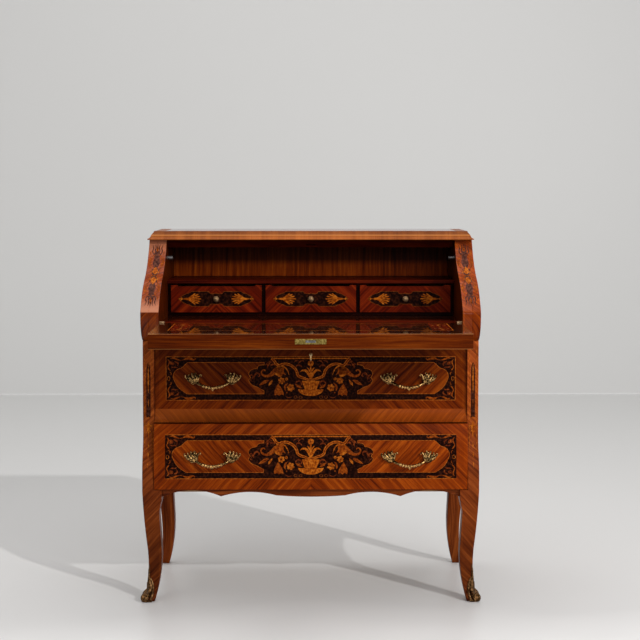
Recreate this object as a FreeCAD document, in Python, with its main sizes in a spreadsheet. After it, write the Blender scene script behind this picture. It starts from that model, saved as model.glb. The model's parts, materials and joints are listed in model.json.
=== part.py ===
"""Slant-front writing desk on cabriole legs, with its fall flap open: an assembly of separate pieces.

Millimetres. +X is the user's right, +Y runs to the back and +Z up. The origin is on the floor, under
the middle of the desk with its flap open. Depths are counted back from the shoulder, where the slant
meets the nose.
"""

import FreeCAD, Part

import math
import os

import Sketcher
from FreeCAD import Placement, Rotation, Vector

doc = FreeCAD.newDocument("writing_desk")
sheet = doc.addObject("Spreadsheet::Sheet", "sizes")

DRIVING_SIZES = {
    # Case
    "case_width": 883,
    "case_depth": 446,
    "leg_height": 294,
    "lower_zone": 168,
    "upper_zone": 222,
    "front_rail_height": 49.5,
    "shoulder_rise": 29.5,
    "slant_run": 226,
    "slant_rise": 178,
    "slant_step": 2.5,
    "side_board": 22,
    "cheek_board": 26,
    "back_board": 10,
    "nose_set": 15,
    "side_arch_rise": 20,
    "side_foot_drop": 24,
    "floor_board": 18,
    "front_rail_depth": 62,
    "dust_board": 14,
    "bottom_board": 11,
    "guide_height": 24,
    "strike_rail_face": 27,
    "strike_rail_depth": 44,
    # Top
    "top_thickness": 23.5,
    "top_end_set": 12.5,
    "top_front_set": 5,
    "moulding_reach": 16,
    "moulding_lip": 3,
    "moulding_quirk": 2.5,
    "moulding_board": 30,
    "ogee_height": 12,
    "ogee_depth": 7.5,
    "cove_bend_depth": 10.5,
    "cove_bend_height": 6,
    "bead_bend_depth": 2.8,
    "bead_bend_height": 18,
    # Legs
    "post_width": 30,
    "post_front": 50,
    "post_back": 92,
    "back_post_depth": 42,
    "knee_front": 22,
    "knee_rise": 31,
    "knee_drop": 4,
    "sweep_top_drop": 17,
    "sweep_middle_front": 36,
    "sweep_upper_set": 47,
    "sweep_lower_set": 25,
    "wing_width": 50.5,
    "wing_drop": 26,
    "wing_depth": 62,
    "calf_outer": 3,
    "calf_inner": 43.5,
    "calf_inner_bend": 46,
    "shin_outer": 12,
    "shin_inner": 49,
    "ankle_outer": 14.5,
    "ankle_inner": 46.5,
    "toe_outer": 9.5,
    "toe_inner": 31.5,
    "toe_kick": 12,
    # Sabots
    "sabot_height": 91,
    "sabot_leaf": 10,
    "sabot_proud": 1.6,
    "sabot_waist_height": 42,
    "sabot_waist_width": 17,
    "sabot_bulge_height": 24,
    "sabot_bulge_proud": 9,
    "sabot_sole": 20,
    "scroll_radius": 8.6,
    "scroll_reach": 14.4,
    # Apron
    "apron_front": 36,
    "apron_board": 20,
    "apron_drop": 21,
    "back_apron_drop": 18,
    "back_apron_board": 14,
    # Flap and its hinges
    "flap_overlap": 2.14,
    "pivot_depth": 23,
    "flap_side_gap": 1.1,
    "flap_end_gap": 0.3,
    "leaf_width": 12,
    "leaf_length": 30,
    "leaf_plate": 2,
    "leaf_set": 4.6,
    "knuckle_radius": 4,
    "knuckle_length": 5.8,
    "knuckle_gap": 0.2,
    "knuckle_clearance": 0.5,
    "pin_radius": 1.8,
    "pin_clearance": 0.05,
    "stop_radius": 5.4,
    "stop_length": 15,
    "stop_end_gap": 24,
    "stop_gap": 0.3,
    # Flap lock
    "lock_plate_length": 76,
    "lock_plate_height": 13,
    "lock_plate": 2.5,
    "lock_case_length": 56,
    "lock_case_height": 11,
    "lock_case_depth": 34,
    "lock_bolt_length": 24,
    "lock_bolt_height": 5,
    "lock_bolt_depth": 26,
    "lock_bolt_throw": 8,
    "lock_wall": 2,
    "mortise_gap": 1,
    # Long drawers
    "drawer_gap": 1,
    "upper_front_depth": 58,
    "upper_front_back": 80,
    "upper_front_lift": 9,
    "lip_height": 34,
    "lip_bend_rise": 13,
    "lip_bend_depth": 51,
    "lip_depth": 33,
    "front_gap": 3.5,
    "lower_front_top_depth": 30,
    "lower_front_lift": 1.5,
    "lower_front_bottom_depth": 22,
    "lower_front_bend_depth": 17,
    "lower_front_back": 46,
    "drawer_side": 12,
    "drawer_back_board": 10,
    "drawer_bottom_board": 6,
    "drawer_bottom_lift": 8,
    "drawer_end_gap": 8,
    "drawer_side_top_gap": 8,
    "runner_gap": 0.5,
    # Handles
    "acanthus_inner": 29,
    "acanthus_width": 47,
    "acanthus_height": 36,
    "acanthus_thickness": 9,
    "acanthus_seat": 1,
    "grip_radius": 4.2,
    "grip_half": 46,
    "grip_out": 24,
    "grip_end_out": 5.5,
    "grip_drop": 23,
    "grip_end_drop": 10,
    # Drawer lock and key
    "key_drop": 38,
    "drawer_lock_length": 62,
    "drawer_lock_height": 64,
    "drawer_lock_depth": 10,
    "drawer_bolt_length": 20,
    "drawer_bolt_thickness": 5,
    "drawer_bolt_height": 40,
    "drawer_bolt_throw": 8,
    "drawer_bolt_rest_gap": 0.5,
    "key_shaft_radius": 2.6,
    "key_shaft_out": 11,
    "key_hole_gap": 0.08,
    "key_bow_radius": 14,
    "key_bow_band": 4,
    "key_bow_thickness": 3.6,
    "key_bit_length": 7,
    "key_bit_height": 6.5,
    "key_bit_thickness": 2.2,
    "key_slot_gap": 0.6,
    "collar_radius": 4.2,
    "collar_length": 2.5,
    # Nest of small drawers
    "nest_front": 230,
    "nest_bottom_board": 9.5,
    "nest_top_board": 9,
    "nest_upright": 9,
    "nest_height": 98.5,
    "small_top_gap": 4.5,
    "small_gap": 0.8,
    "small_front_board": 14,
    "small_side_board": 6,
    "small_bottom_board": 4,
    "small_end_gap": 26,
    "small_ear": 18,
    "small_ear_rise": 3.6,
    "knob_radius": 7.9,
    "knob_neck_radius": 3.2,
    "knob_neck_length": 8,
    "knob_collar_radius": 5.2,
    "knob_collar": 2.5,
    "knob_rim": 5,
    "knob_crown_radius": 5.2,
    "knob_crown": 3.5,
    "knob_stem": 12,
}

for row, (name, value) in enumerate(DRIVING_SIZES.items(), start=1):
    sheet.set(f"A{row}", name)
    sheet.set(f"B{row}", str(value))
    sheet.setAlias(f"B{row}", name)

# How strongly the slant waves, and how far up it turns from round to hollow
WAVE_SHARE = 0.078
WAVE_TURN_SHARE = 0.46

# How far up the nose its bend lies
NOSE_BEND_SHARE = 0.304

# The heights where the legs' lines turn, as shares of the leg below the case
CALF_SHARE = 0.8
CALF_BEND_SHARE = 0.646
SHIN_SHARE = 0.476
ANKLE_SHARE = 0.255

# The front post's sweep between the knee and the upper drawer, as shares of its height
SWEEP_UPPER_SHARE = 0.775
SWEEP_MIDDLE_SHARE = 0.5
SWEEP_LOWER_SHARE = 0.25

# The front apron's lower edge, from a leg to the middle: shares of the half width and of the drop
APRON_END_SHARES = (1.0, 1.0)
APRON_ARCH_SHARES = (0.8235, 0.167)
APRON_CUSP_SHARES = (0.6036, 0.929)
APRON_SECOND_SHARES = (0.4348, 0.381)
APRON_FLANK_SHARES = (0.2302, 0.81)
APRON_MIDDLE_SHARE = 0.976

# Where the lower front bulges most, and where the handles sit on the long fronts
LOWER_BULGE_SHARE = 0.462
HANDLE_PLACE_SHARE = 0.626
UPPER_HANDLE_SHARE = 0.438
LOWER_HANDLE_SHARE = 0.5087

# A handle's acanthus leaf, from its inner tip round by the top, the outer tip and the stem: shares of
# its width, counted outward, and of its height, counted up. Each pair is a bend's middle and its end.
INNER_TIP_SHARES = (0.0, 0.86)
LEAF_BEND_SHARES = (
    ((0.47, 1.0), (1.0, 0.83)),
    ((0.77, 0.36), (0.36, 0.0)),
    ((0.25, 0.47), (0.0, 0.86)),
)

# The grip's section has this many flats
GRIP_SIDES = 6


class Size:
    """A size from the sheet, or a sum of such sizes: its value, and the formula that it stands for."""

    def __init__(self, value, formula):
        self.value = value
        self.formula = formula

    @staticmethod
    def of(other):
        return other if isinstance(other, Size) else Size(other, repr(other))

    def _joined(self, other, sign, result):
        return Size(result, f"({self.formula} {sign} {other.formula})")

    def __add__(self, other):
        other = Size.of(other)
        return self._joined(other, "+", self.value + other.value)

    def __sub__(self, other):
        other = Size.of(other)
        return self._joined(other, "-", self.value - other.value)

    def __mul__(self, other):
        other = Size.of(other)
        return self._joined(other, "*", self.value * other.value)

    def __truediv__(self, other):
        other = Size.of(other)
        return self._joined(other, "/", self.value / other.value)

    def __radd__(self, other):
        return Size.of(other) + self

    def __rsub__(self, other):
        return Size.of(other) - self

    def __rmul__(self, other):
        return Size.of(other) * self

    def __neg__(self):
        return Size(-self.value, f"(0 - {self.formula})")


class SheetSizes:
    """Reads any cell of the sheet by its alias, as a Size."""

    def __getattr__(self, alias):
        return Size(float(DRIVING_SIZES[alias]), f"sizes.{alias}")


def root_of_squares(a, b):
    return Size(math.hypot(a.value, b.value), f"sqrt({a.formula} ^ 2 + {b.formula} ^ 2)")


at = SheetSizes()
ZERO = Size(0.0, "0")

# Places that many pieces share
half_width = at.case_width / 2
opening_half = half_width - at.side_board - at.cheek_board
inner_half = half_width - at.side_board
post_inner = half_width - at.post_width
wing_inner = half_width - at.wing_width

# Heights, stacked from the floor up
dust_board_height = at.leg_height + at.lower_zone
drawer_zone_top = dust_board_height + at.upper_zone
writing_height = drawer_zone_top + at.front_rail_height
shoulder_height = writing_height + at.shoulder_rise
top_underside = shoulder_height + at.slant_rise + at.slant_step
desk_height = top_underside + at.top_thickness

# The slant's own directions: up along it, and square to it into the desk
slant_length = root_of_squares(at.slant_run, at.slant_rise)
along_y = at.slant_run / slant_length
along_z = at.slant_rise / slant_length

# How far up and in from the slant's chord the flap's hinge line lies, and the flap's size
pivot_along = along_y * at.pivot_depth - along_z * at.shoulder_rise
flap_thickness = along_z * at.pivot_depth + along_y * at.shoulder_rise
flap_length = slant_length - pivot_along + at.flap_overlap
shoulder_y = (flap_length - at.pivot_depth - at.case_depth) / 2


def back(depth):
    """The place along Y of a depth counted back from the shoulder."""
    return shoulder_y + depth


case_back = back(at.case_depth)
panel_face = back(at.case_depth - at.back_board)

back_post_front = at.case_depth - at.back_post_depth
pivot = (back(at.pivot_depth), writing_height)


def on_slant(along, inward):
    """The point this far up the slant's chord from the shoulder, and this far into the desk from it."""
    y = back(ZERO) + along_y * along + along_z * inward
    z = shoulder_height + along_z * along - along_y * inward
    return y, z


nodes = {}


def node(label, shape_object):
    """Names a finished piece, which gets a file of its own."""
    shape_object.Label = label
    nodes[label] = shape_object
    return shape_object


def bind(thing, **sizes):
    """Ties properties to the sheet. Two underscores stand for the dot in a property's name."""
    for key, size in sizes.items():
        thing.setExpression(key.replace("__", "."), Size.of(size).formula)


def place(thing, x, y, z):
    bind(thing, Placement__Base__x=x, Placement__Base__y=y, Placement__Base__z=z)


def board(name, x, y, z):
    """A square-edged board between two places on each axis."""
    box = doc.addObject("Part::Box", name)
    bind(box, Length=x[1] - x[0], Width=y[1] - y[0], Height=z[1] - z[0])
    place(box, x[0], y[0], z[0])
    return box


def rod(name, radius, length, start, direction):
    """A round bar from a place, along +X, -Y or +Z."""
    bar = doc.addObject("Part::Cylinder", name)
    bind(bar, Radius=radius, Height=length)
    turn = {
        "x": Rotation(Vector(0, 1, 0), 90),
        "-y": Rotation(Vector(1, 0, 0), 90),
        "z": Rotation(),
    }[direction]
    bar.Placement = Placement(Vector(), turn)
    place(bar, *start)
    return bar


def joined(name, pieces):
    fused = doc.addObject("Part::MultiFuse", name)
    fused.Shapes = pieces
    return fused


def cut_by(name, piece, tools):
    cut = doc.addObject("Part::Cut", name)
    cut.Base = piece
    cut.Tool = tools[0] if len(tools) == 1 else joined(name + "_tools", tools)
    return cut


def common_of(name, first, second):
    shared = doc.addObject("Part::Common", name)
    shared.Base = first
    shared.Tool = second
    return shared


def group(name, pieces):
    """Several separate solids in one node."""
    compound = doc.addObject("Part::Compound", name)
    compound.Links = pieces
    return compound


def mirrored(name, piece, normal=(1, 0, 0)):
    copy = doc.addObject("Part::Mirroring", name)
    copy.Source = piece
    copy.Normal = Vector(*normal)
    return copy


def both_sides(label, piece):
    """Names a right-hand piece and adds its left-hand twin."""
    node("right_" + label, piece)
    node("left_" + label, mirrored("left_" + label, piece))


def bend(via, to):
    """A step of an outline that bends through one point to the next corner."""
    return {"via": via, "to": to}


def outline(sketch, start, steps):
    """Draws a closed outline, with every corner and every bend tied to the sheet."""

    def spot(point):
        return Vector(point[0].value, point[1].value, 0)

    def tie(geometry, end, point):
        for kind, size in zip(("DistanceX", "DistanceY"), point):
            index = sketch.addConstraint(
                Sketcher.Constraint(kind, -1, 1, geometry, end, size.value)
            )
            sketch.setExpression(f"Constraints[{index}]", size.formula)

    ends = []
    here = start
    for step in steps:
        there = step["to"] if isinstance(step, dict) else step
        if isinstance(step, dict):
            arc = Part.Arc(spot(here), spot(step["via"]), spot(there))
            index = sketch.addGeometry(arc)
            middle = sketch.addGeometry(Part.Point(spot(step["via"])), True)
            tie(middle, 1, step["via"])
            sketch.addConstraint(Sketcher.Constraint("PointOnObject", middle, 1, index))
        else:
            index = sketch.addGeometry(Part.LineSegment(spot(here), spot(there)))
        first = 1
        if sketch.getPoint(index, 1).distanceToPoint(spot(here)) > sketch.getPoint(
            index, 2
        ).distanceToPoint(spot(here)):
            first = 2
        ends.append((index, first, 3 - first))
        tie(index, first, here)
        here = there
    for (a, _, a_end), (b, b_start, _) in zip(ends, ends[1:] + ends[:1]):
        sketch.addConstraint(Sketcher.Constraint("Coincident", a, a_end, b, b_start))


def profile(name, plane, start, steps, low, high):
    """A body padded from an outline between two places: one on YZ along X, one on XZ along Y."""
    body = doc.addObject("PartDesign::Body", name)
    origin = {f.Role: f for f in body.Origin.OriginFeatures}
    sketch = body.newObject("Sketcher::SketchObject", name + "_outline")
    sketch.AttachmentSupport = [(origin[plane + "_Plane"], "")]
    sketch.MapMode = "FlatFace"
    # The XZ plane faces the front, so its pads start at the back and run forward
    sketch.setExpression(
        "AttachmentOffset.Base.z", (-high if plane == "XZ" else low).formula
    )
    outline(sketch, start, steps)
    pad = body.newObject("PartDesign::Pad", name + "_pad")
    pad.Profile = sketch
    bind(pad, Length=high - low)
    sketch.Visibility = False
    return body


def turned(name, start, steps):
    """A turned piece that points at the user: an outline of radius and length, revolved."""
    body = doc.addObject("PartDesign::Body", name)
    origin = {f.Role: f for f in body.Origin.OriginFeatures}
    sketch = body.newObject("Sketcher::SketchObject", name + "_outline")
    sketch.AttachmentSupport = [(origin["XY_Plane"], "")]
    sketch.MapMode = "FlatFace"
    outline(sketch, (ZERO, ZERO), steps)
    turning = body.newObject("PartDesign::Revolution", name + "_turning")
    turning.Profile = sketch
    turning.ReferenceAxis = (sketch, ["V_Axis"])
    turning.Angle = 360
    sketch.Visibility = False
    body.Placement = Placement(Vector(), Rotation(Vector(0, 0, 1), 180))
    place(body, *start)
    return body


# The slant's curve and the nose


def slant_curve():
    """From the shoulder up to the top: round below, hollow above, in two arcs that meet smoothly."""
    turn = slant_length * WAVE_TURN_SHARE
    rest = slant_length - turn
    return [
        bend(
            on_slant(turn / 2, -(turn * WAVE_SHARE)),
            on_slant(turn, ZERO),
        ),
        bend(
            on_slant(turn + rest / 2, rest * WAVE_SHARE),
            on_slant(slant_length, ZERO),
        ),
    ]


shoulder = (back(ZERO), shoulder_height)
nose_end = (back(at.post_front), drawer_zone_top)
nose_height = shoulder_height - drawer_zone_top
nose_curve = bend((back(at.nose_set), drawer_zone_top + nose_height * NOSE_BEND_SHARE), shoulder)
slant_top = (back(at.slant_run), top_underside)


def make_sides():
    foot = at.leg_height - at.side_foot_drop
    side = profile(
        "right_side",
        "YZ",
        nose_end,
        [
            nose_curve,
            *slant_curve(),
            slant_top,
            (case_back, top_underside),
            (case_back, drawer_zone_top),
            (back(back_post_front), drawer_zone_top),
            (back(back_post_front), foot),
            bend(
                (back((back_post_front + at.post_back) / 2), foot + at.side_arch_rise),
                (back(at.post_back), foot),
            ),
            (back(at.post_back), drawer_zone_top),
            nose_end,
        ],
        inner_half,
        half_width,
    )
    both_sides("side", side)
    cheek = profile(
        "right_cheek",
        "YZ",
        nose_end,
        [
            nose_curve,
            *slant_curve(),
            slant_top,
            (panel_face, top_underside),
            (panel_face, drawer_zone_top),
            nose_end,
        ],
        opening_half,
        inner_half,
    )
    both_sides("cheek", cheek)


def make_back_and_boards():
    panel = profile(
        "back_panel",
        "XZ",
        (-post_inner, at.leg_height),
        [
            (post_inner, at.leg_height),
            (post_inner, drawer_zone_top),
            (inner_half, drawer_zone_top),
            (inner_half, top_underside),
            (-inner_half, top_underside),
            (-inner_half, drawer_zone_top),
            (-post_inner, drawer_zone_top),
            (-post_inner, at.leg_height),
        ],
        panel_face,
        case_back,
    )
    node("back_panel", panel)

    rail_front = back(at.pivot_depth)
    rail_back = back(at.pivot_depth + at.front_rail_depth)
    rail = board(
        "front_rail_block",
        (-opening_half, opening_half),
        (rail_front, rail_back),
        (drawer_zone_top, writing_height),
    )
    knuckle_notch = rod(
        "rail_knuckle_notch",
        at.knuckle_radius + at.knuckle_clearance,
        at.leaf_width + at.knuckle_gap,
        (opening_half - at.leaf_width - at.knuckle_gap, back(at.pivot_depth), writing_height),
        "x",
    )
    leaf_recess = board(
        "rail_leaf_recess",
        (opening_half - at.leaf_width, opening_half),
        (rail_front, back(at.pivot_depth + at.leaf_set + at.leaf_length)),
        (writing_height - at.leaf_plate, writing_height),
    )
    bolt_mortise = board(
        "rail_bolt_mortise",
        (
            -at.drawer_bolt_length / 2 - at.mortise_gap,
            at.drawer_bolt_length / 2 + at.mortise_gap,
        ),
        (
            bolt_y[0] - at.mortise_gap,
            bolt_y[1] + at.mortise_gap,
        ),
        (drawer_zone_top, drawer_zone_top + at.drawer_bolt_throw + at.mortise_gap),
    )
    hinge_cuts = [knuckle_notch, leaf_recess]
    tools = hinge_cuts + [mirrored(t.Name + "_left", t) for t in hinge_cuts]
    node("front_rail", cut_by("front_rail", rail, tools + [bolt_mortise]))

    floor = board(
        "interior_floor",
        (-opening_half, opening_half),
        (rail_back, panel_face),
        (writing_height - at.floor_board, writing_height),
    )
    node("interior_floor", floor)

    def notched(label, low, thickness, front_depth, notch_half):
        """A board across the case with its corners cut round the leg posts."""
        plank = board(
            label + "_plank",
            (-inner_half, inner_half),
            (back(front_depth), panel_face),
            (low, low + thickness),
        )
        corners = []
        for end, depths in (
            ("front", (front_depth, at.post_back)),
            ("rear", (back_post_front, at.case_depth)),
        ):
            corner = board(
                f"{label}_{end}_notch",
                (notch_half, half_width),
                (back(depths[0]), back(depths[1])),
                (low, low + thickness),
            )
            corners += [corner, mirrored(f"{label}_{end}_notch_left", corner)]
        node(label, cut_by(label, plank, corners))

    notched(
        "dust_board",
        dust_board_height,
        at.dust_board,
        at.upper_front_back + at.drawer_gap,
        post_inner,
    )
    notched(
        "bottom_board",
        at.leg_height - at.bottom_board,
        at.bottom_board,
        at.apron_front + at.apron_board,
        wing_inner,
    )
    guides = [
        board(
            f"right_guide_{level}",
            (post_inner, inner_half),
            (back(at.post_back), back(back_post_front)),
            (low, low + at.guide_height),
        )
        for level, low in (
            ("upper", dust_board_height + at.dust_board),
            ("lower", at.leg_height),
        )
    ]
    both_sides("guides", group("right_guides", guides))


def make_strike_rail():
    """The wedge under the top that the closed flap meets, with the mortise for its lock bolt."""
    face_along = pivot_along + flap_length + at.drawer_gap
    face_top = on_slant(face_along, ZERO)
    face_low = on_slant(face_along, at.strike_rail_face)
    wedge = profile(
        "strike_rail_wedge",
        "YZ",
        (face_top[0], top_underside),
        [
            face_top,
            face_low,
            (back(at.slant_run + at.strike_rail_depth), face_low[1]),
            (back(at.slant_run + at.strike_rail_depth), top_underside),
            (face_top[0], top_underside),
        ],
        -opening_half,
        opening_half,
    )
    low_in = flap_thickness / 2 - at.lock_bolt_height / 2 - at.mortise_gap
    high_in = low_in + at.lock_bolt_height + at.mortise_gap * 2
    deep = face_along + at.lock_bolt_throw + at.mortise_gap
    half_slot = at.lock_bolt_length / 2 + at.mortise_gap
    mortise = profile(
        "strike_mortise",
        "YZ",
        on_slant(slant_length, low_in),
        [
            on_slant(deep, low_in),
            on_slant(deep, high_in),
            on_slant(slant_length, high_in),
            on_slant(slant_length, low_in),
        ],
        -half_slot,
        half_slot,
    )
    node("strike_rail", cut_by("strike_rail", wedge, [mortise]))


def make_top():
    """The ogee runs round the front and both ends: a long and a cross profile, mitred at the corners."""
    reach = at.moulding_reach
    lip_z = top_underside + at.moulding_lip
    turn_z = top_underside + at.ogee_height
    quirk_z = desk_height - at.moulding_quirk
    front = back(at.slant_run - at.top_front_set)
    top_half_width = half_width - at.top_end_set

    def ogee(edge, outward):
        """From the lip up to the quirk. Outward is the sign of the way out from the board's edge."""

        def out(size):
            return edge + size * outward

        return [
            (out(reach), lip_z),
            bend(
                (out(at.cove_bend_depth), top_underside + at.cove_bend_height),
                (out(at.ogee_depth), turn_z),
            ),
            bend(
                (out(at.bead_bend_depth), top_underside + at.bead_bend_height),
                (edge, quirk_z),
            ),
            (edge, desk_height),
        ]

    front_steps = ogee(front, -1)
    long_way = profile(
        "top_long_profile",
        "YZ",
        (front - reach, top_underside),
        [
            *front_steps,
            (case_back, desk_height),
            (case_back, top_underside),
            (front - reach, top_underside),
        ],
        -top_half_width - reach,
        top_half_width + reach,
    )
    right_steps = ogee(top_half_width, 1)
    left_bends = ogee(-top_half_width, -1)
    cross_way = profile(
        "top_cross_profile",
        "XZ",
        (top_half_width + reach, top_underside),
        [
            *right_steps,
            (-top_half_width, desk_height),
            (-top_half_width, quirk_z),
            bend(left_bends[2]["via"], left_bends[1]["to"]),
            bend(left_bends[1]["via"], left_bends[0]),
            (-top_half_width - reach, top_underside),
            (top_half_width + reach, top_underside),
        ],
        front - reach,
        case_back,
    )
    whole = common_of("top_whole", long_way, cross_way)
    field_half = top_half_width - at.moulding_board
    field_y = (front + at.moulding_board, case_back)
    field_z = (top_underside, desk_height)
    node("top_board", board("top_board", (-field_half, field_half), field_y, field_z))
    field = board("top_field", (-field_half, field_half), field_y, field_z)
    node("top_moulding", cut_by("top_moulding", whole, [field]))


def leg_edges(edge, inward, toe_shift):
    """The sawn outer and inner lines of a leg below the knee. Inward is the sign of the way in."""

    def into(size):
        return edge + size * inward

    calf = at.leg_height * CALF_SHARE
    calf_bend = at.leg_height * CALF_BEND_SHARE
    shin = at.leg_height * SHIN_SHARE
    ankle = at.leg_height * ANKLE_SHARE
    outer = [
        bend((into(at.calf_outer), calf), (into(at.shin_outer), shin)),
        bend((into(at.ankle_outer), ankle), (into(at.toe_outer - toe_shift), ZERO)),
    ]
    inner_up = [
        bend((into(at.ankle_inner), ankle), (into(at.shin_inner), shin)),
        bend((into(at.calf_inner_bend), calf_bend), (into(at.calf_inner), calf)),
    ]
    inner_foot = (into(at.toe_inner - toe_shift), ZERO)
    return outer, inner_foot, inner_up


def make_legs():
    """Each cabriole leg is sawn from two faces of one blank, with the case post above it."""
    knee_top = at.leg_height + at.knee_rise
    knee_bottom = at.leg_height - at.knee_drop
    wing_bottom = at.leg_height - at.wing_drop
    sweep = dust_board_height - at.sweep_top_drop - knee_top

    def swept(share):
        """The height of a point of the front post's sweep."""
        return knee_top + sweep * share

    outer, foot, inner = leg_edges(half_width, -1, ZERO)
    front_view = (
        (half_width, drawer_zone_top),
        [
            (half_width, knee_bottom),
            *outer,
            foot,
            *inner,
            (wing_inner, wing_bottom),
            (wing_inner, at.leg_height),
            (post_inner, at.leg_height),
            (post_inner, drawer_zone_top),
            (half_width, drawer_zone_top),
        ],
    )
    knee = back(at.knee_front)
    outer, foot, inner = leg_edges(knee, 1, at.toe_kick)
    post_front = back(at.post_front)
    front_side_view = (
        (post_front, drawer_zone_top),
        [
            (post_front, swept(1)),
            bend(
                (back(at.sweep_upper_set), swept(SWEEP_UPPER_SHARE)),
                (back(at.sweep_middle_front), swept(SWEEP_MIDDLE_SHARE)),
            ),
            bend((back(at.sweep_lower_set), swept(SWEEP_LOWER_SHARE)), (knee, knee_top)),
            (knee, knee_bottom),
            *outer,
            foot,
            *inner,
            (knee + at.wing_depth, wing_bottom),
            (back(at.post_back), at.leg_height),
            (back(at.post_back), drawer_zone_top),
            (post_front, drawer_zone_top),
        ],
    )
    outer, foot, inner = leg_edges(case_back, -1, ZERO)
    rear_side_view = (
        (case_back, drawer_zone_top),
        [
            (case_back, knee_bottom),
            *outer,
            foot,
            *inner,
            (back(back_post_front), wing_bottom),
            (back(back_post_front), drawer_zone_top),
            (case_back, drawer_zone_top),
        ],
    )
    for end, side_view in (("front", front_side_view), ("back", rear_side_view)):
        face = profile(
            f"{end}_leg_face", "XZ", *front_view, back(ZERO), case_back
        )
        flank = profile(f"{end}_leg_flank", "YZ", *side_view, ZERO, half_width)
        leg = common_of(f"right_{end}_leg", face, flank)
        both_sides(f"{end}_leg", leg)


def make_sabots():
    """Cast shoes on the outer corners of the front feet: a leaf up the shin and a scroll at the toe."""
    right_leg = nodes["right_front_leg"]

    def shoe_view(name, plane, edge, outward, toe_shift, low, high):
        def out(inset, proud):
            return edge + (proud - inset) * outward

        toe = at.toe_outer - toe_shift
        start = (out(at.ankle_outer, -at.sabot_leaf), at.sabot_height)
        return profile(
            name,
            plane,
            start,
            [
                (out(at.ankle_outer, at.sabot_proud), at.sabot_height),
                bend(
                    (out(toe, at.sabot_proud), at.sabot_waist_height),
                    (out(toe, at.sabot_bulge_proud), at.sabot_bulge_height),
                ),
                (out(toe, at.scroll_reach), at.scroll_radius),
                (out(toe, at.sabot_bulge_proud), ZERO),
                (out(toe, -at.sabot_sole), ZERO),
                (out(toe, -at.sabot_waist_width), at.sabot_bulge_height),
                start,
            ],
            low,
            high,
        )

    front = back(ZERO)
    face = shoe_view(
        "sabot_face", "XZ", half_width, 1, ZERO, front - at.scroll_reach, back(at.post_back)
    )
    flank = shoe_view(
        "sabot_flank",
        "YZ",
        back(at.knee_front),
        -1,
        at.toe_kick,
        wing_inner,
        half_width + at.scroll_reach,
    )
    shoe = common_of("sabot_blank", face, flank)
    both_sides("sabot", cut_by("right_sabot", shoe, [right_leg]))


def make_aprons():
    """The front apron's lower edge: two arches each side of the middle, with a cusp between them."""
    half = wing_inner

    def edge(shares, sign):
        return half * (shares[0] * sign), at.leg_height - at.apron_drop * shares[1]

    def flank(sign):
        return (
            edge(APRON_END_SHARES, sign),
            edge(APRON_ARCH_SHARES, sign),
            edge(APRON_CUSP_SHARES, sign),
            edge(APRON_SECOND_SHARES, sign),
            edge(APRON_FLANK_SHARES, sign),
        )

    end, arch, cusp, second, low = flank(1)
    left_end, left_arch, left_cusp, left_second, left_low = flank(-1)
    middle = (ZERO, at.leg_height - at.apron_drop * APRON_MIDDLE_SHARE)
    apron = profile(
        "front_apron",
        "XZ",
        (half, at.leg_height),
        [
            end,
            bend(arch, cusp),
            bend(second, low),
            bend(middle, left_low),
            bend(left_second, left_cusp),
            bend(left_arch, left_end),
            (-half, at.leg_height),
            (half, at.leg_height),
        ],
        back(at.apron_front),
        back(at.apron_front + at.apron_board),
    )
    node("front_apron", apron)
    rear = board(
        "back_apron",
        (-wing_inner, wing_inner),
        (case_back - at.back_apron_board, case_back),
        (at.leg_height - at.back_apron_drop, at.leg_height),
    )
    bottom_seat = board(
        "back_apron_step",
        (-wing_inner, wing_inner),
        (case_back - at.back_apron_board, panel_face),
        (at.leg_height - at.bottom_board, at.leg_height),
    )
    node("back_apron", cut_by("back_apron", rear, [bottom_seat]))


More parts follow.
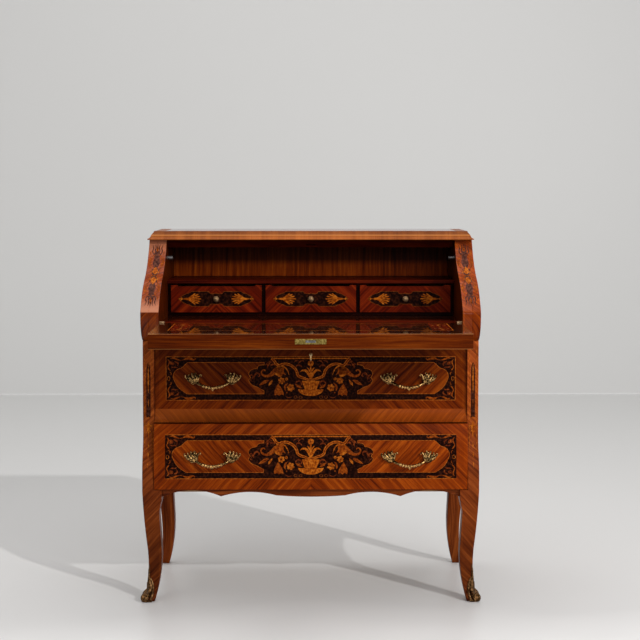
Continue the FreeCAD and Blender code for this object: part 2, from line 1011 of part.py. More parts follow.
def make_flap():
    """The flap lies open. Its outer face has the slant's curve, and closes flush with the stiles."""

    def open_point(along, below):
        """A point this far forward from the pivot, and this far under the writing face."""
        return pivot[0] - along, pivot[1] - below

    def on_face(along, hollow):
        """A point of the outer face, by how far up the slant it closes and how far in from the chord."""
        return open_point(along - pivot_along, flap_thickness - hollow)

    turn = slant_length * WAVE_TURN_SHARE
    rest = slant_length - turn
    heel = at.flap_end_gap
    half = opening_half - at.flap_side_gap
    slab = profile(
        "flap_slab",
        "YZ",
        open_point(heel, ZERO),
        [
            open_point(flap_length, ZERO),
            open_point(flap_length, flap_thickness),
            on_face(slant_length, ZERO),
            bend(on_face(turn + rest / 2, rest * WAVE_SHARE), on_face(turn, ZERO)),
            bend(
                on_face(turn / 2, -(turn * WAVE_SHARE)),
                open_point(heel, flap_thickness),
            ),
            open_point(heel, ZERO),
        ],
        -half,
        half,
    )
    notch = rod(
        "flap_knuckle_notch",
        at.knuckle_radius + at.knuckle_clearance,
        at.leaf_width + at.knuckle_gap,
        (opening_half - at.leaf_width - at.knuckle_gap, *pivot),
        "x",
    )
    recess = board(
        "flap_leaf_recess",
        (opening_half - at.leaf_width, opening_half),
        (pivot[0] - at.leaf_set - at.leaf_length, pivot[0]),
        (pivot[1] - at.leaf_plate, pivot[1]),
    )
    edge = pivot[0] - flap_length
    plate_z = pivot[1] - flap_thickness / 2
    plate_seat = board(
        "flap_plate_seat",
        (-at.lock_plate_length / 2, at.lock_plate_length / 2),
        (edge, edge + at.lock_plate),
        (plate_z - at.lock_plate_height / 2, plate_z + at.lock_plate_height / 2),
    )
    case_seat = board(
        "flap_case_seat",
        (-at.lock_case_length / 2, at.lock_case_length / 2),
        (edge + at.lock_plate, edge + at.lock_plate + at.lock_case_depth),
        (plate_z - at.lock_case_height / 2, plate_z + at.lock_case_height / 2),
    )
    tools = [notch, recess, mirrored("flap_notch_left", notch), mirrored("flap_recess_left", recess)]
    node("flap", cut_by("flap", slab, tools + [plate_seat, case_seat]))

    # Lock: a plate let into the edge, its case behind it and a bolt that slides out of both
    bolt_half = at.lock_bolt_length / 2
    bolt_z = (plate_z - at.lock_bolt_height / 2, plate_z + at.lock_bolt_height / 2)
    bolt_y0 = (edge, edge + at.lock_bolt_depth)
    bolt = board("flap_lock_bolt", (-bolt_half, bolt_half), bolt_y0, bolt_z)
    node("flap_lock_bolt", bolt)
    slide_room = board(
        "flap_lock_room",
        (-bolt_half - at.runner_gap, bolt_half + at.runner_gap),
        (edge, bolt_y0[1] + at.runner_gap),
        (bolt_z[0] - at.runner_gap, bolt_z[1] + at.runner_gap),
    )
    plate = board(
        "flap_lock_plate_blank",
        (-at.lock_plate_length / 2, at.lock_plate_length / 2),
        (edge, edge + at.lock_plate),
        (plate_z - at.lock_plate_height / 2, plate_z + at.lock_plate_height / 2),
    )
    case = board(
        "flap_lock_case_blank",
        (-at.lock_case_length / 2, at.lock_case_length / 2),
        (edge + at.lock_plate, edge + at.lock_plate + at.lock_case_depth),
        (plate_z - at.lock_case_height / 2, plate_z + at.lock_case_height / 2),
    )
    node("flap_lock_plate", cut_by("flap_lock_plate", plate, [slide_room]))
    node("flap_lock_case", cut_by("flap_lock_case", case, [slide_room]))


def make_hinges():
    """A fixed leaf with its knuckle and pin on the rail, and a moving leaf on the flap."""
    fixed_x = (opening_half - at.knuckle_length, opening_half)
    moving_x = (
        opening_half - at.leaf_width,
        opening_half - at.knuckle_length - at.knuckle_gap,
    )
    bore = at.pin_radius + at.pin_clearance

    def leaf(name, x, leaf_y):
        barrel = rod(name + "_barrel", at.knuckle_radius, x[1] - x[0], (x[0], *pivot), "x")
        arm_y = (leaf_y[0], pivot[0]) if name == "moving" else (pivot[0], leaf_y[1])
        arm = board(
            name + "_arm", x, arm_y, (pivot[1] - at.leaf_plate, pivot[1])
        )
        plate = board(
            name + "_plate",
            (opening_half - at.leaf_width, opening_half - at.flap_side_gap * 2),
            leaf_y,
            (pivot[1] - at.leaf_plate, pivot[1]),
        )
        return joined(name + "_leaf", [barrel, arm, plate])

    fixed_leaf = leaf(
        "fixed",
        fixed_x,
        (pivot[0] + at.leaf_set, pivot[0] + at.leaf_set + at.leaf_length),
    )
    pin = rod(
        "hinge_pin", at.pin_radius, at.leaf_width, (opening_half - at.leaf_width, *pivot), "x"
    )
    both_sides("hinge_fixed_leaf", joined("right_fixed_leaf", [fixed_leaf, pin]))
    moving_leaf = leaf(
        "moving",
        moving_x,
        (pivot[0] - at.leaf_set - at.leaf_length, pivot[0] - at.leaf_set),
    )
    pin_hole = rod(
        "hinge_pin_hole", bore, at.leaf_width * 2, (opening_half - at.leaf_width * 2, *pivot), "x"
    )
    both_sides("hinge_moving_leaf", cut_by("right_moving_leaf", moving_leaf, [pin_hole]))

    stop_along = pivot_along + flap_length - at.stop_end_gap
    stop_centre = on_slant(stop_along, flap_thickness + at.stop_gap + at.stop_radius)
    stop = rod(
        "right_flap_stop",
        at.stop_radius,
        at.stop_length,
        (opening_half - at.stop_length, *stop_centre),
        "x",
    )
    both_sides("flap_stop", stop)


# The long drawers' fronts, and where the lock's bolt stands behind the upper one
upper_top = drawer_zone_top - at.drawer_gap
upper_bottom = dust_board_height + at.upper_front_lift
lip_top = upper_bottom + at.lip_height
lower_top = upper_bottom - at.front_gap
lower_bottom = at.leg_height + at.lower_front_lift
front_half = post_inner - at.drawer_gap
key_height = drawer_zone_top - at.key_drop
front_back_y = back(at.upper_front_back)
bolt_y = (
    front_back_y - at.drawer_bolt_thickness - at.drawer_gap,
    front_back_y - at.drawer_gap,
)


def drawer_box(label, front_back, low, high):
    """Two sides, a back and a bottom behind a long drawer's front."""
    out = post_inner - at.drawer_gap
    inner = out - at.drawer_side
    y_end = panel_face - at.drawer_end_gap
    base = low + at.runner_gap
    side = board(label + "_right_side", (inner, out), (front_back, y_end), (base, high))
    twin = mirrored(label + "_left_side", side)
    node(label + "_sides", group(label + "_sides", [side, twin]))
    node(
        label + "_back",
        board(
            label + "_back",
            (-inner, inner),
            (y_end - at.drawer_back_board, y_end),
            (base, high),
        ),
    )
    node(
        label + "_bottom",
        board(
            label + "_bottom",
            (-inner, inner),
            (front_back, y_end - at.drawer_back_board),
            (
                base + at.drawer_bottom_lift,
                base + at.drawer_bottom_lift + at.drawer_bottom_board,
            ),
        ),
    )


def make_long_drawers():
    upper = profile(
        "upper_drawer_blank",
        "YZ",
        (back(at.upper_front_depth), upper_top),
        [
            (back(at.upper_front_depth), lip_top),
            bend(
                (back(at.lip_bend_depth), upper_bottom + at.lip_bend_rise),
                (back(at.lip_depth), upper_bottom),
            ),
            (front_back_y, upper_bottom),
            (front_back_y, upper_top),
            (back(at.upper_front_depth), upper_top),
        ],
        -front_half,
        front_half,
    )
    # The lock's room: the bolt's channel up the front, the keyhole and the bit's room
    bolt_room = board(
        "upper_bolt_room",
        (
            -at.drawer_bolt_length / 2 - at.runner_gap,
            at.drawer_bolt_length / 2 + at.runner_gap,
        ),
        (bolt_y[0] - at.runner_gap, front_back_y),
        (upper_top - at.drawer_bolt_height - at.mortise_gap, upper_top),
    )
    key_hole = rod(
        "upper_key_hole",
        at.key_shaft_radius + at.key_hole_gap,
        at.upper_front_back - at.upper_front_depth,
        (ZERO, front_back_y, key_height),
        "-y",
    )
    node("upper_drawer_front", cut_by("upper_drawer_front", upper, [bolt_room, key_hole]))

    lower = profile(
        "lower_drawer_front",
        "YZ",
        (back(at.lower_front_top_depth), lower_top),
        [
            bend(
                (
                    back(at.lower_front_bend_depth),
                    lower_bottom + (lower_top - lower_bottom) * LOWER_BULGE_SHARE,
                ),
                (back(at.lower_front_bottom_depth), lower_bottom),
            ),
            (back(at.lower_front_back), lower_bottom),
            (back(at.lower_front_back), lower_top),
            (back(at.lower_front_top_depth), lower_top),
        ],
        -front_half,
        front_half,
    )
    node("lower_drawer_front", lower)
    drawer_box(
        "upper_drawer",
        front_back_y,
        dust_board_height + at.dust_board,
        drawer_zone_top - at.drawer_side_top_gap,
    )
    drawer_box(
        "lower_drawer",
        back(at.lower_front_back),
        at.leg_height,
        dust_board_height - at.drawer_side_top_gap,
    )


def on_leaf(shares, centre, end, height):
    """A point of an acanthus leaf's outline, from its shares of the leaf's width and height."""
    width_share, height_share = shares
    out = at.acanthus_inner + at.acanthus_width * width_share
    return centre + out * end, height + at.acanthus_height * (height_share - 0.5)


def make_handle(label, side, front, face, height):
    """A cast pull: two acanthus leaves seated on the drawer front, and a sagging grip between them."""
    centre = front_half * (HANDLE_PLACE_SHARE * side)
    parts = []
    for end, word in ((-1, "left"), (1, "right")):
        where = (centre, end, height)
        bends = [bend(on_leaf(via, *where), on_leaf(to, *where)) for via, to in LEAF_BEND_SHARES]
        parts.append(
            profile(
                f"{label}_{word}_leaf",
                "XZ",
                on_leaf(INNER_TIP_SHARES, *where),
                bends,
                face - at.acanthus_thickness,
                face + at.acanthus_seat,
            )
        )
    grip = doc.addObject("Part::Feature", label + "_grip")
    z_end = height.value - at.grip_end_drop.value
    y_end = face.value - at.grip_end_out.value
    reach = at.grip_half.value
    arc = Part.Arc(
        Vector(centre.value - reach, y_end, z_end),
        Vector(centre.value, face.value - at.grip_out.value, height.value - at.grip_drop.value),
        Vector(centre.value + reach, y_end, z_end),
    ).toShape()
    start = arc.valueAt(arc.FirstParameter)
    tangent = arc.tangentAt(arc.FirstParameter)
    side_way = tangent.cross(Vector(0, 0, 1)).normalize()
    up_way = side_way.cross(tangent)
    corners = []
    for corner in range(GRIP_SIDES + 1):
        angle = math.tau * corner / GRIP_SIDES
        reach_out = side_way * math.cos(angle) + up_way * math.sin(angle)
        corners.append(start + reach_out * at.grip_radius.value)
    ring = Part.makePolygon(corners)
    grip.Shape = Part.Wire(arc).makePipeShell([ring], True, False)
    parts.append(grip)
    node(label, cut_by(label, joined(label + "_casting", parts), [front]))


def make_handles():
    upper_height = lip_top + (upper_top - lip_top) * UPPER_HANDLE_SHARE
    lower_height = lower_bottom + (lower_top - lower_bottom) * LOWER_HANDLE_SHARE
    upper = (nodes["upper_drawer_front"], back(at.upper_front_depth), upper_height)
    lower = (nodes["lower_drawer_front"], back(at.lower_front_bend_depth), lower_height)
    for side, word in ((-1, "left"), (1, "right")):
        make_handle(f"upper_{word}_handle", side, *upper)
        make_handle(f"lower_{word}_handle", side, *lower)


def make_drawer_lock():
    """A lock behind the upper drawer's front: its case, its bolt and the key that throws it."""
    case_half = at.drawer_lock_length / 2
    case_z = (upper_top - at.drawer_lock_height, upper_top)
    case_y = (front_back_y, front_back_y + at.drawer_lock_depth)
    case = board("drawer_lock_block", (-case_half, case_half), case_y, case_z)
    bit_room = rod(
        "drawer_lock_bit_room",
        at.key_shaft_radius + at.key_bit_height + at.key_slot_gap,
        at.drawer_lock_depth - at.lock_wall,
        (ZERO, case_y[1] - at.lock_wall, key_height),
        "-y",
    )
    node("drawer_lock_case", cut_by("drawer_lock_case", case, [bit_room]))

    bolt_top = upper_top - at.drawer_bolt_rest_gap
    bolt = board(
        "drawer_lock_bolt",
        (-at.drawer_bolt_length / 2, at.drawer_bolt_length / 2),
        bolt_y,
        (bolt_top - at.drawer_bolt_height, bolt_top),
    )
    shaft_room = board(
        "drawer_bolt_slot",
        (-at.key_shaft_radius - at.key_slot_gap, at.key_shaft_radius + at.key_slot_gap),
        bolt_y,
        (
            bolt_top - at.drawer_bolt_height,
            key_height + at.key_shaft_radius + at.key_slot_gap,
        ),
    )
    node("drawer_lock_bolt", cut_by("drawer_lock_bolt", bolt, [shaft_room]))

    face = back(at.upper_front_depth)
    shaft_end = front_back_y + at.key_slot_gap + at.key_bit_length
    out_end = face - at.key_shaft_out
    shaft = rod(
        "key_shaft",
        at.key_shaft_radius,
        shaft_end - out_end,
        (ZERO, shaft_end, key_height),
        "-y",
    )
    collar = rod(
        "key_collar",
        at.collar_radius,
        at.collar_length,
        (ZERO, face - at.key_slot_gap, key_height),
        "-y",
    )
    bit = board(
        "key_bit",
        (-at.key_bit_thickness / 2, at.key_bit_thickness / 2),
        (shaft_end - at.key_bit_length, shaft_end),
        (key_height - at.key_shaft_radius - at.key_bit_height, key_height),
    )
    bow_start = (
        -at.key_bow_thickness / 2,
        out_end - at.key_bow_radius + at.key_bow_band,
        key_height,
    )
    disc = rod("key_bow_disc", at.key_bow_radius, at.key_bow_thickness, bow_start, "x")
    eye_radius = at.key_bow_radius - at.key_bow_band
    eye = rod("key_bow_eye", eye_radius, at.key_bow_thickness, bow_start, "x")
    bow = cut_by("key_bow", disc, [eye])
    stem = [shaft, collar, bit]
    node("key", joined("key", stem + [bow]))


def make_nest():
    """Three small drawers in a row under a shelf. Their fronts stand before the uprights."""
    low = writing_height
    high = low + at.nest_height
    front = back(at.nest_front)
    set_back = front + at.small_front_board
    node(
        "nest_bottom",
        board(
            "nest_bottom",
            (-opening_half, opening_half),
            (set_back, panel_face),
            (low, low + at.nest_bottom_board),
        ),
    )
    node(
        "nest_shelf",
        board(
            "nest_shelf",
            (-opening_half, opening_half),
            (front, panel_face),
            (high - at.nest_top_board, high),
        ),
    )
    bay_low = low + at.nest_bottom_board
    bay_high = high - at.nest_top_board
    bay = (opening_half * 2 - at.nest_upright * 4) / 3
    uprights = []
    for number in range(4):
        x = -opening_half + (bay + at.nest_upright) * number
        uprights.append(
            board(
                f"nest_upright_{number}",
                (x, x + at.nest_upright),
                (set_back, panel_face),
                (bay_low, bay_high),
            )
        )
    node("nest_uprights", group("nest_uprights", uprights))

    for number, word in enumerate(("left", "middle", "right")):
        x0 = -opening_half + at.nest_upright + (bay + at.nest_upright) * number
        make_small_drawer(word, x0, x0 + bay, front, bay_low)


def make_small_drawer(word, x0, x1, front, bay_low):
    gap = at.small_gap
    left, right = x0 + gap, x1 - gap
    base = bay_low + gap
    bay_height = at.nest_height - at.nest_bottom_board - at.nest_top_board
    top = bay_low + bay_height - at.small_top_gap
    cut_top = top - at.small_ear_rise
    face_back = front + at.small_front_board
    face = profile(
        f"{word}_small_front_blank",
        "XZ",
        (left, base),
        [
            (right, base),
            (right, top),
            (right - at.small_ear, top),
            (right - at.small_ear, cut_top),
            (left + at.small_ear, cut_top),
            (left + at.small_ear, top),
            (left, top),
            (left, base),
        ],
        front,
        face_back,
    )
    middle = (left + right) / 2
    knob_z = bay_low + (bay_height - at.small_top_gap) / 2
    stem_hole = rod(
        f"{word}_stem_hole",
        at.knob_neck_radius,
        at.knob_stem,
        (middle, front + at.knob_stem, knob_z),
        "-y",
    )
    node(f"{word}_small_drawer_front", cut_by(f"{word}_small_front", face, [stem_hole]))

    y_end = panel_face - at.small_end_gap
    wall = at.small_side_board
    shell = board(f"{word}_small_block", (left, right), (face_back, y_end), (base, cut_top))
    hollow = board(
        f"{word}_small_hollow",
        (left + wall, right - wall),
        (face_back, y_end - wall),
        (base + at.small_bottom_board, cut_top),
    )
    node(f"{word}_small_drawer_box", cut_by(f"{word}_small_box", shell, [hollow]))

    neck_end = at.knob_stem + at.knob_neck_length
    collar_end = neck_end + at.knob_collar
    rim_end = collar_end + at.knob_rim
    crown_end = rim_end + at.knob_crown
    knob = turned(
        f"{word}_knob",
        (middle, front + at.knob_stem, knob_z),
        [
            (at.knob_neck_radius, ZERO),
            (at.knob_neck_radius, neck_end),
            (at.knob_collar_radius, neck_end),
            (at.knob_collar_radius, collar_end),
            (at.knob_radius, collar_end),
            (at.knob_radius, rim_end),
            (at.knob_crown_radius, rim_end),
            (at.knob_crown_radius, crown_end),
            (ZERO, crown_end),
            (ZERO, ZERO),
        ],
    )
    node(f"{word}_knob", knob)


def main():
    make_sides()
    make_back_and_boards()
    make_strike_rail()
    make_top()
    make_legs()
    make_sabots()
    make_aprons()
    make_flap()
    make_hinges()
    make_long_drawers()
    make_handles()
    make_drawer_lock()
    make_nest()
    doc.recompute()
    for thing in doc.Objects:
        wrong = [state for state in thing.State if state in ("Invalid", "Error")]
        if wrong:
            raise RuntimeError(f"{thing.Name} is {wrong}")
    os.makedirs("parts", exist_ok=True)
    for label, thing in nodes.items():
        shape = thing.Shape
        if shape.isNull() or not shape.isValid() or not shape.Solids:
            raise RuntimeError(f"{label} has no sound shape")
        shape.exportStep(f"parts/{label}.step")
        print(label, len(shape.Solids), "solid(s)", round(shape.Volume), "mm3")
    print(len(nodes), "nodes")


main()
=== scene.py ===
"""The finished look of a slant-front writing desk: veneers, marquetry, cast bronze and a studio round it."""

import json
import math

import bpy
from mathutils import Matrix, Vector


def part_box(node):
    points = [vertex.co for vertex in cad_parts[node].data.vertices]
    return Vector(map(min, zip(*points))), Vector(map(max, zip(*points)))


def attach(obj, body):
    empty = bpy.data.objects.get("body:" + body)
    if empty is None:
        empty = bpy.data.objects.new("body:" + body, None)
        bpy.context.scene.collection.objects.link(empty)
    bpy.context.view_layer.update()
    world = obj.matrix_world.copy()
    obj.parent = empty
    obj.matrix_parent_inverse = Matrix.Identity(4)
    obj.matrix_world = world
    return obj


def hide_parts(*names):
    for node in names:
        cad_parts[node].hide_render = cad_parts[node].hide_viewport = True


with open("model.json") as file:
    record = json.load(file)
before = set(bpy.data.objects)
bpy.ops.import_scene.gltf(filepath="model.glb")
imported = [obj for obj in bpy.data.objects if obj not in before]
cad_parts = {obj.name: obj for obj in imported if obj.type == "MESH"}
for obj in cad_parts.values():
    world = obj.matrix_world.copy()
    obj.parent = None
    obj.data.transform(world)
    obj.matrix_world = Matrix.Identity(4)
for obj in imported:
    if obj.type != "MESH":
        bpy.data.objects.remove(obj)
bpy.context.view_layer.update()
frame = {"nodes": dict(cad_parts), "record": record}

bl_info = {
    "name": "Marquetry writing desk",
    "version": (1, 0, 0),
    "blender": (4, 5, 0),
    "location": "View3D > Sidebar > Desk",
    "description": "Veneers, inlays and bronze mounts for a slant-front writing desk",
    "category": "Object",
}

MM = 0.001
BODY_OF = {
    node: body
    for body, names in frame["record"]["behaviour"]["bodies"].items()
    for node in names
}
SLOT_OF = {part["node"]: part["material_slot"] for part in frame["record"]["subparts"]}


class Wire:
    """A value inside a finish. Arithmetic on wires adds the Math nodes that work it out."""

    def __init__(self, finish, socket):
        self.finish = finish
        self.socket = socket

    def _math(self, operation, *values):
        return self.finish.add("ShaderNodeMath", {"operation": operation}, dict(enumerate(values)))

    def __add__(self, other):
        return self._math("ADD", self, other)

    def __radd__(self, other):
        return self._math("ADD", other, self)

    def __sub__(self, other):
        return self._math("SUBTRACT", self, other)

    def __rsub__(self, other):
        return self._math("SUBTRACT", other, self)

    def __mul__(self, other):
        return self._math("MULTIPLY", self, other)

    def __truediv__(self, other):
        return self._math("DIVIDE", self, other)

    def __abs__(self):
        return self._math("ABSOLUTE", self)

    def above(self, edge):
        """1 where the value is greater than the edge, else 0."""
        return self._math("GREATER_THAN", self, edge)

    def clamped(self, low, high):
        return self.finish.add("ShaderNodeClamp", {}, {0: self, 1: low, 2: high})

    def floored(self):
        return self._math("FLOOR", self)

    def chosen(self, where_zero, where_one):
        """One of two wires, by this mask."""
        return where_zero + self * (where_one - where_zero)


class Finish:
    """A procedural material for one wood or metal of the desk."""

    def __init__(self, name):
        self.material = bpy.data.materials.new(name)
        self.material.use_nodes = True
        self.tree = self.material.node_tree
        self.tree.nodes.clear()

    def add(self, kind, settings=None, values=None, out=0):
        """A node of any kind: its settings first, then the values or wires of its sockets."""
        node = self.tree.nodes.new(kind)
        for key, value in (settings or {}).items():
            if key == "stops":
                self._set_stops(node.color_ramp, value)
            else:
                setattr(node, key, value)
        for key, value in (values or {}).items():
            if isinstance(value, Wire):
                self.tree.links.new(value.socket, node.inputs[key])
            else:
                node.inputs[key].default_value = value
        return Wire(self, node.outputs[out])

    @staticmethod
    def _set_stops(ramp, stops):
        while len(ramp.elements) < len(stops):
            ramp.elements.new(0.5)
        for element, (place, colour) in zip(ramp.elements, stops):
            element.position = place
            element.color = (*colour, 1.0)

    def place(self):
        """Where a point of the piece lies, as x, y and z in metres."""
        point = self.add("ShaderNodeTexCoord", out="Object")
        return [
            self.add("ShaderNodeSeparateXYZ", values={0: point}, out=axis) for axis in range(3)
        ]

    def point(self, x, y, z):
        return self.add("ShaderNodeCombineXYZ", values={0: x, 1: y, 2: z})

    def noise(self, x, y, z, detail=3.0, rough=0.55):
        """Cloudy noise between 0 and 1 on three coordinates that are already in cells."""
        return self.add(
            "ShaderNodeTexNoise",
            {"noise_dimensions": "3D"},
            {"Vector": self.point(x, y, z), "Scale": 1.0, "Detail": detail, "Roughness": rough},
        )

    def dice(self, x, y):
        """A number between 0 and 1 that is steady within each cell."""
        return self.add(
            "ShaderNodeTexWhiteNoise", {"noise_dimensions": "2D"}, {"Vector": self.point(x, y, 0)}
        )

    def ramp(self, value, stops):
        return self.add("ShaderNodeValToRGB", {"stops": stops}, {0: value})

    def mixed(self, mask, first, second):
        """Two colours blended by a mask."""
        return self.add(
            "ShaderNodeMix",
            {"data_type": "RGBA"},
            {0: mask, 6: self._colour(first), 7: self._colour(second)},
            out=2,
        )

    def shaded(self, colour, amount):
        """A colour made lighter or darker by a factor."""
        grey = self.point(amount, amount, amount)
        return self.add(
            "ShaderNodeMix",
            {"data_type": "RGBA", "blend_type": "MULTIPLY"},
            {0: 1.0, 6: self._colour(colour), 7: grey},
            out=2,
        )

    @staticmethod
    def _colour(value):
        return value if isinstance(value, Wire) else (*value, 1.0)

    def bump(self, height, distance, strength=1.0):
        return self.add(
            "ShaderNodeBump", {}, {"Height": height, "Distance": distance, "Strength": strength}
        )

    def surface(self, **sockets):
        """Closes the finish with one surface. Two underscores stand for the space in a socket's name."""
        values = {key.replace("__", " "): value for key, value in sockets.items()}
        shader = self.add("ShaderNodeBsdfPrincipled", {}, values)
        output = self.tree.nodes.new("ShaderNodeOutputMaterial")
        self.tree.links.new(shader.socket, output.inputs["Surface"])
        return self.material


# How a leaf of veneer is laid: its coordinates along the grain and across it, from a point of the piece

HALF_ROOT = math.sqrt(0.5)


def laid_upright(x, y, z):
    return z, x + y * 0.8


def laid_lengthwise(x, y, z):
    return x, z + y * 0.9


def laid_deep(x, y, z):
    return y, x + z * 0.9


def laid_across(x, y, z):
    return z, x


def rising_about(middle):
    """Grain that rises from both ends towards this place, where the leaves meet in a point."""

    def lay(x, y, z):
        out = abs(x - middle)
        return (z - out) * HALF_ROOT, (out + z) * HALF_ROOT + y * 0.6

    return lay


def laid_falling(x, y, z):
    """Grain that falls from both ends towards the middle."""
    return (z + abs(x)) * HALF_ROOT, (abs(x) - z) * HALF_ROOT + y * 0.6


laid_rising = rising_about(0.0)


def two_lays(mask, first, second):
    """Coordinates that follow one lay where the mask is 0 and another where it is 1."""
    return mask.chosen(first[0], second[0]), mask.chosen(first[1], second[1])


# A veneer's figure: cells to the metre, across the grain and along it

BROAD_STREAKS = (130.0, 3.5)
FINE_STREAKS = (480.0, 11.0)
PORES = (1500.0, 90.0)
SWAY_CELLS, SWAY = (14.0, 9.0), 8 * MM
LEAF, LEAF_ROW = 70 * MM, 400 * MM
CLOUDS = 7.0

# How much each part gives to the tone, and where the dark, middle and light colour stand on it

BROAD_SHARE, FINE_SHARE, LEAF_SHARE = 0.62, 0.38, 0.07
TONE_STOPS = (0.36, 0.50, 0.64)
PORE_EDGE, PORE_COVER, PORE_TONE = 0.68, 0.45, 0.35
CLOUD_SPAN, CLOUD_LOW = 0.5, 0.75
PORE_DEPTH = 0.00008


def veneer(
    name, lay, dark, middle, light, leaf=LEAF, gloss=0.27, coat=0.0, streak=1.0, seed=0.0, shine=0.03,
    painted_light=None, string=None, string_and_sheen_tone=None, polish=0.08, calm=None,
):
    """French-polished veneer: streaked grain, tone that changes from leaf to leaf, and fine pores.

    The coat, the painted light, the string and the calm may be rules that give a wire for a point: how
    thick the polish is, how much painted light or shade lightens or darkens the wood, where a light string,
    a painted sheen or a painted highlight is mixed in, and where the figure is quieter.
    """
    finish = Finish(name)
    x, y, z = finish.place()
    along, across = lay(x, y, z)
    sway_across, sway_along = SWAY_CELLS
    sway = finish.noise(along * sway_along, across * sway_across, seed, 2.0) * SWAY
    across = across + sway

    def figure(cells, offset, detail, rough=0.55, scale=1.0):
        wide, long = cells
        return finish.noise(across * (wide * scale), along * long, seed + offset, detail, rough)

    broad = figure(BROAD_STREAKS, 3.0, 3.0, 0.6, streak)
    fine = figure(FINE_STREAKS, 7.0, 4.0, 0.65, streak)
    pore = figure(PORES, 11.0, 1.0)
    leaves = finish.dice((across / leaf).floored(), (x / LEAF_ROW).floored())
    shade = broad * BROAD_SHARE + fine * FINE_SHARE + (leaves - 0.5) * LEAF_SHARE
    if calm:
        shade = (shade - 0.5) * (1.0 - calm(x, y, z)) + 0.5
    wood = finish.ramp(shade, list(zip(TONE_STOPS, (dark, middle, light))))
    wood = finish.mixed(pore.above(PORE_EDGE) * PORE_COVER, wood, [part * PORE_TONE for part in dark])
    cloud = finish.noise(x * CLOUDS, y * CLOUDS, z * CLOUDS + seed, 2.0) * CLOUD_SPAN + CLOUD_LOW
    # Painted light and shade: a factor on the wood's tone, set by place
    if painted_light:
        cloud = cloud * painted_light(x, y, z)
    wood = finish.shaded(wood, cloud)
    # A light string, a painted sheen or a painted highlight, mixed in by a mask
    if string:
        wood = finish.mixed(string(x, y, z), wood, string_and_sheen_tone)
    return finish.surface(
        Base__Color=wood,
        Roughness=fine * 0.16 + gloss,
        Specular__IOR__Level=shine,
        Coat__Weight=coat(x, y, z) if callable(coat) else coat,
        Coat__Roughness=polish,
        Normal=finish.bump(pore * 0.6 + broad * 0.4, PORE_DEPTH, 0.5),
    )


def tone(name, default, description):
    """A colour that can be set in the panel."""
    return bpy.props.FloatVectorProperty(
        name=name, description=description, subtype="COLOR", size=3, min=0.0, max=1.0, default=default
    )


def length(name, millimetres, description):
    """A size that can be set in the panel."""
    return bpy.props.FloatProperty(
        name=name, description=description, subtype="DISTANCE", unit="LENGTH", min=0.0,
        default=millimetres * MM,
    )


class DESK_PG_woods(bpy.types.PropertyGroup):
    """Colours of the veneers and the carcass wood"""

    red_dark: tone("Red, dark", (0.0320, 0.0017, 0.0003), "Dark streaks of the red veneer inside")
    red_middle: tone("Red, middle", (0.0900, 0.0056, 0.0006), "Body of the red veneer inside")
    red_light: tone("Red, light", (0.1800, 0.0170, 0.0018), "Light streaks of the red veneer inside")
    brown_dark: tone("Brown, dark", (0.050, 0.0080, 0.0015), "Dark streaks of the legs and the apron")
    brown_middle: tone("Brown, middle", (0.130, 0.0240, 0.0040), "Body of the legs and the apron")
    brown_light: tone("Brown, light", (0.250, 0.0580, 0.0100), "Light streaks of the legs and the apron")
    amber_dark: tone("Amber, dark", (0.056, 0.0056, 0.0004), "Dark streaks of the drawer fronts")
    amber_middle: tone("Amber, middle", (0.175, 0.0235, 0.0008), "Body of the drawer fronts")
    amber_light: tone("Amber, light", (0.330, 0.0620, 0.0030), "Light streaks of the drawer fronts")
    golden_dark: tone("Golden, dark", (0.140, 0.0300, 0.0045), "Dark figure of the top's moulding")
    golden_middle: tone("Golden, middle", (0.240, 0.0600, 0.0100), "Body of the top's moulding")
    golden_light: tone("Golden, light", (0.370, 0.1050, 0.0190), "Light figure of the top's moulding")
    plain_dark: tone("Plain, dark", (0.160, 0.0750, 0.0300), "Dark grain of the carcass wood")
    plain_middle: tone("Plain, middle", (0.290, 0.1500, 0.0650), "Body of the carcass wood")
    plain_light: tone("Plain, light", (0.400, 0.2400, 0.1150), "Light grain of the carcass wood")
    # Also the tone of the painted reflection at the flap's front corners
    string: tone("Arris string", (0.460, 0.2000, 0.0600), "Light string along the flap's edges")
    # A painted sheen: the pale pink reflection on the stiles, painted into their colour
    sheen: tone("Worn sheen", (0.4700, 0.1900, 0.1050), "Where handling has bleached the stiles")
    # A painted highlight: the pale line of light along the moulding's roll
    roll: tone("Moulding's roll", (0.5000, 0.1900, 0.0500), "The rubbed roll of the top's moulding")


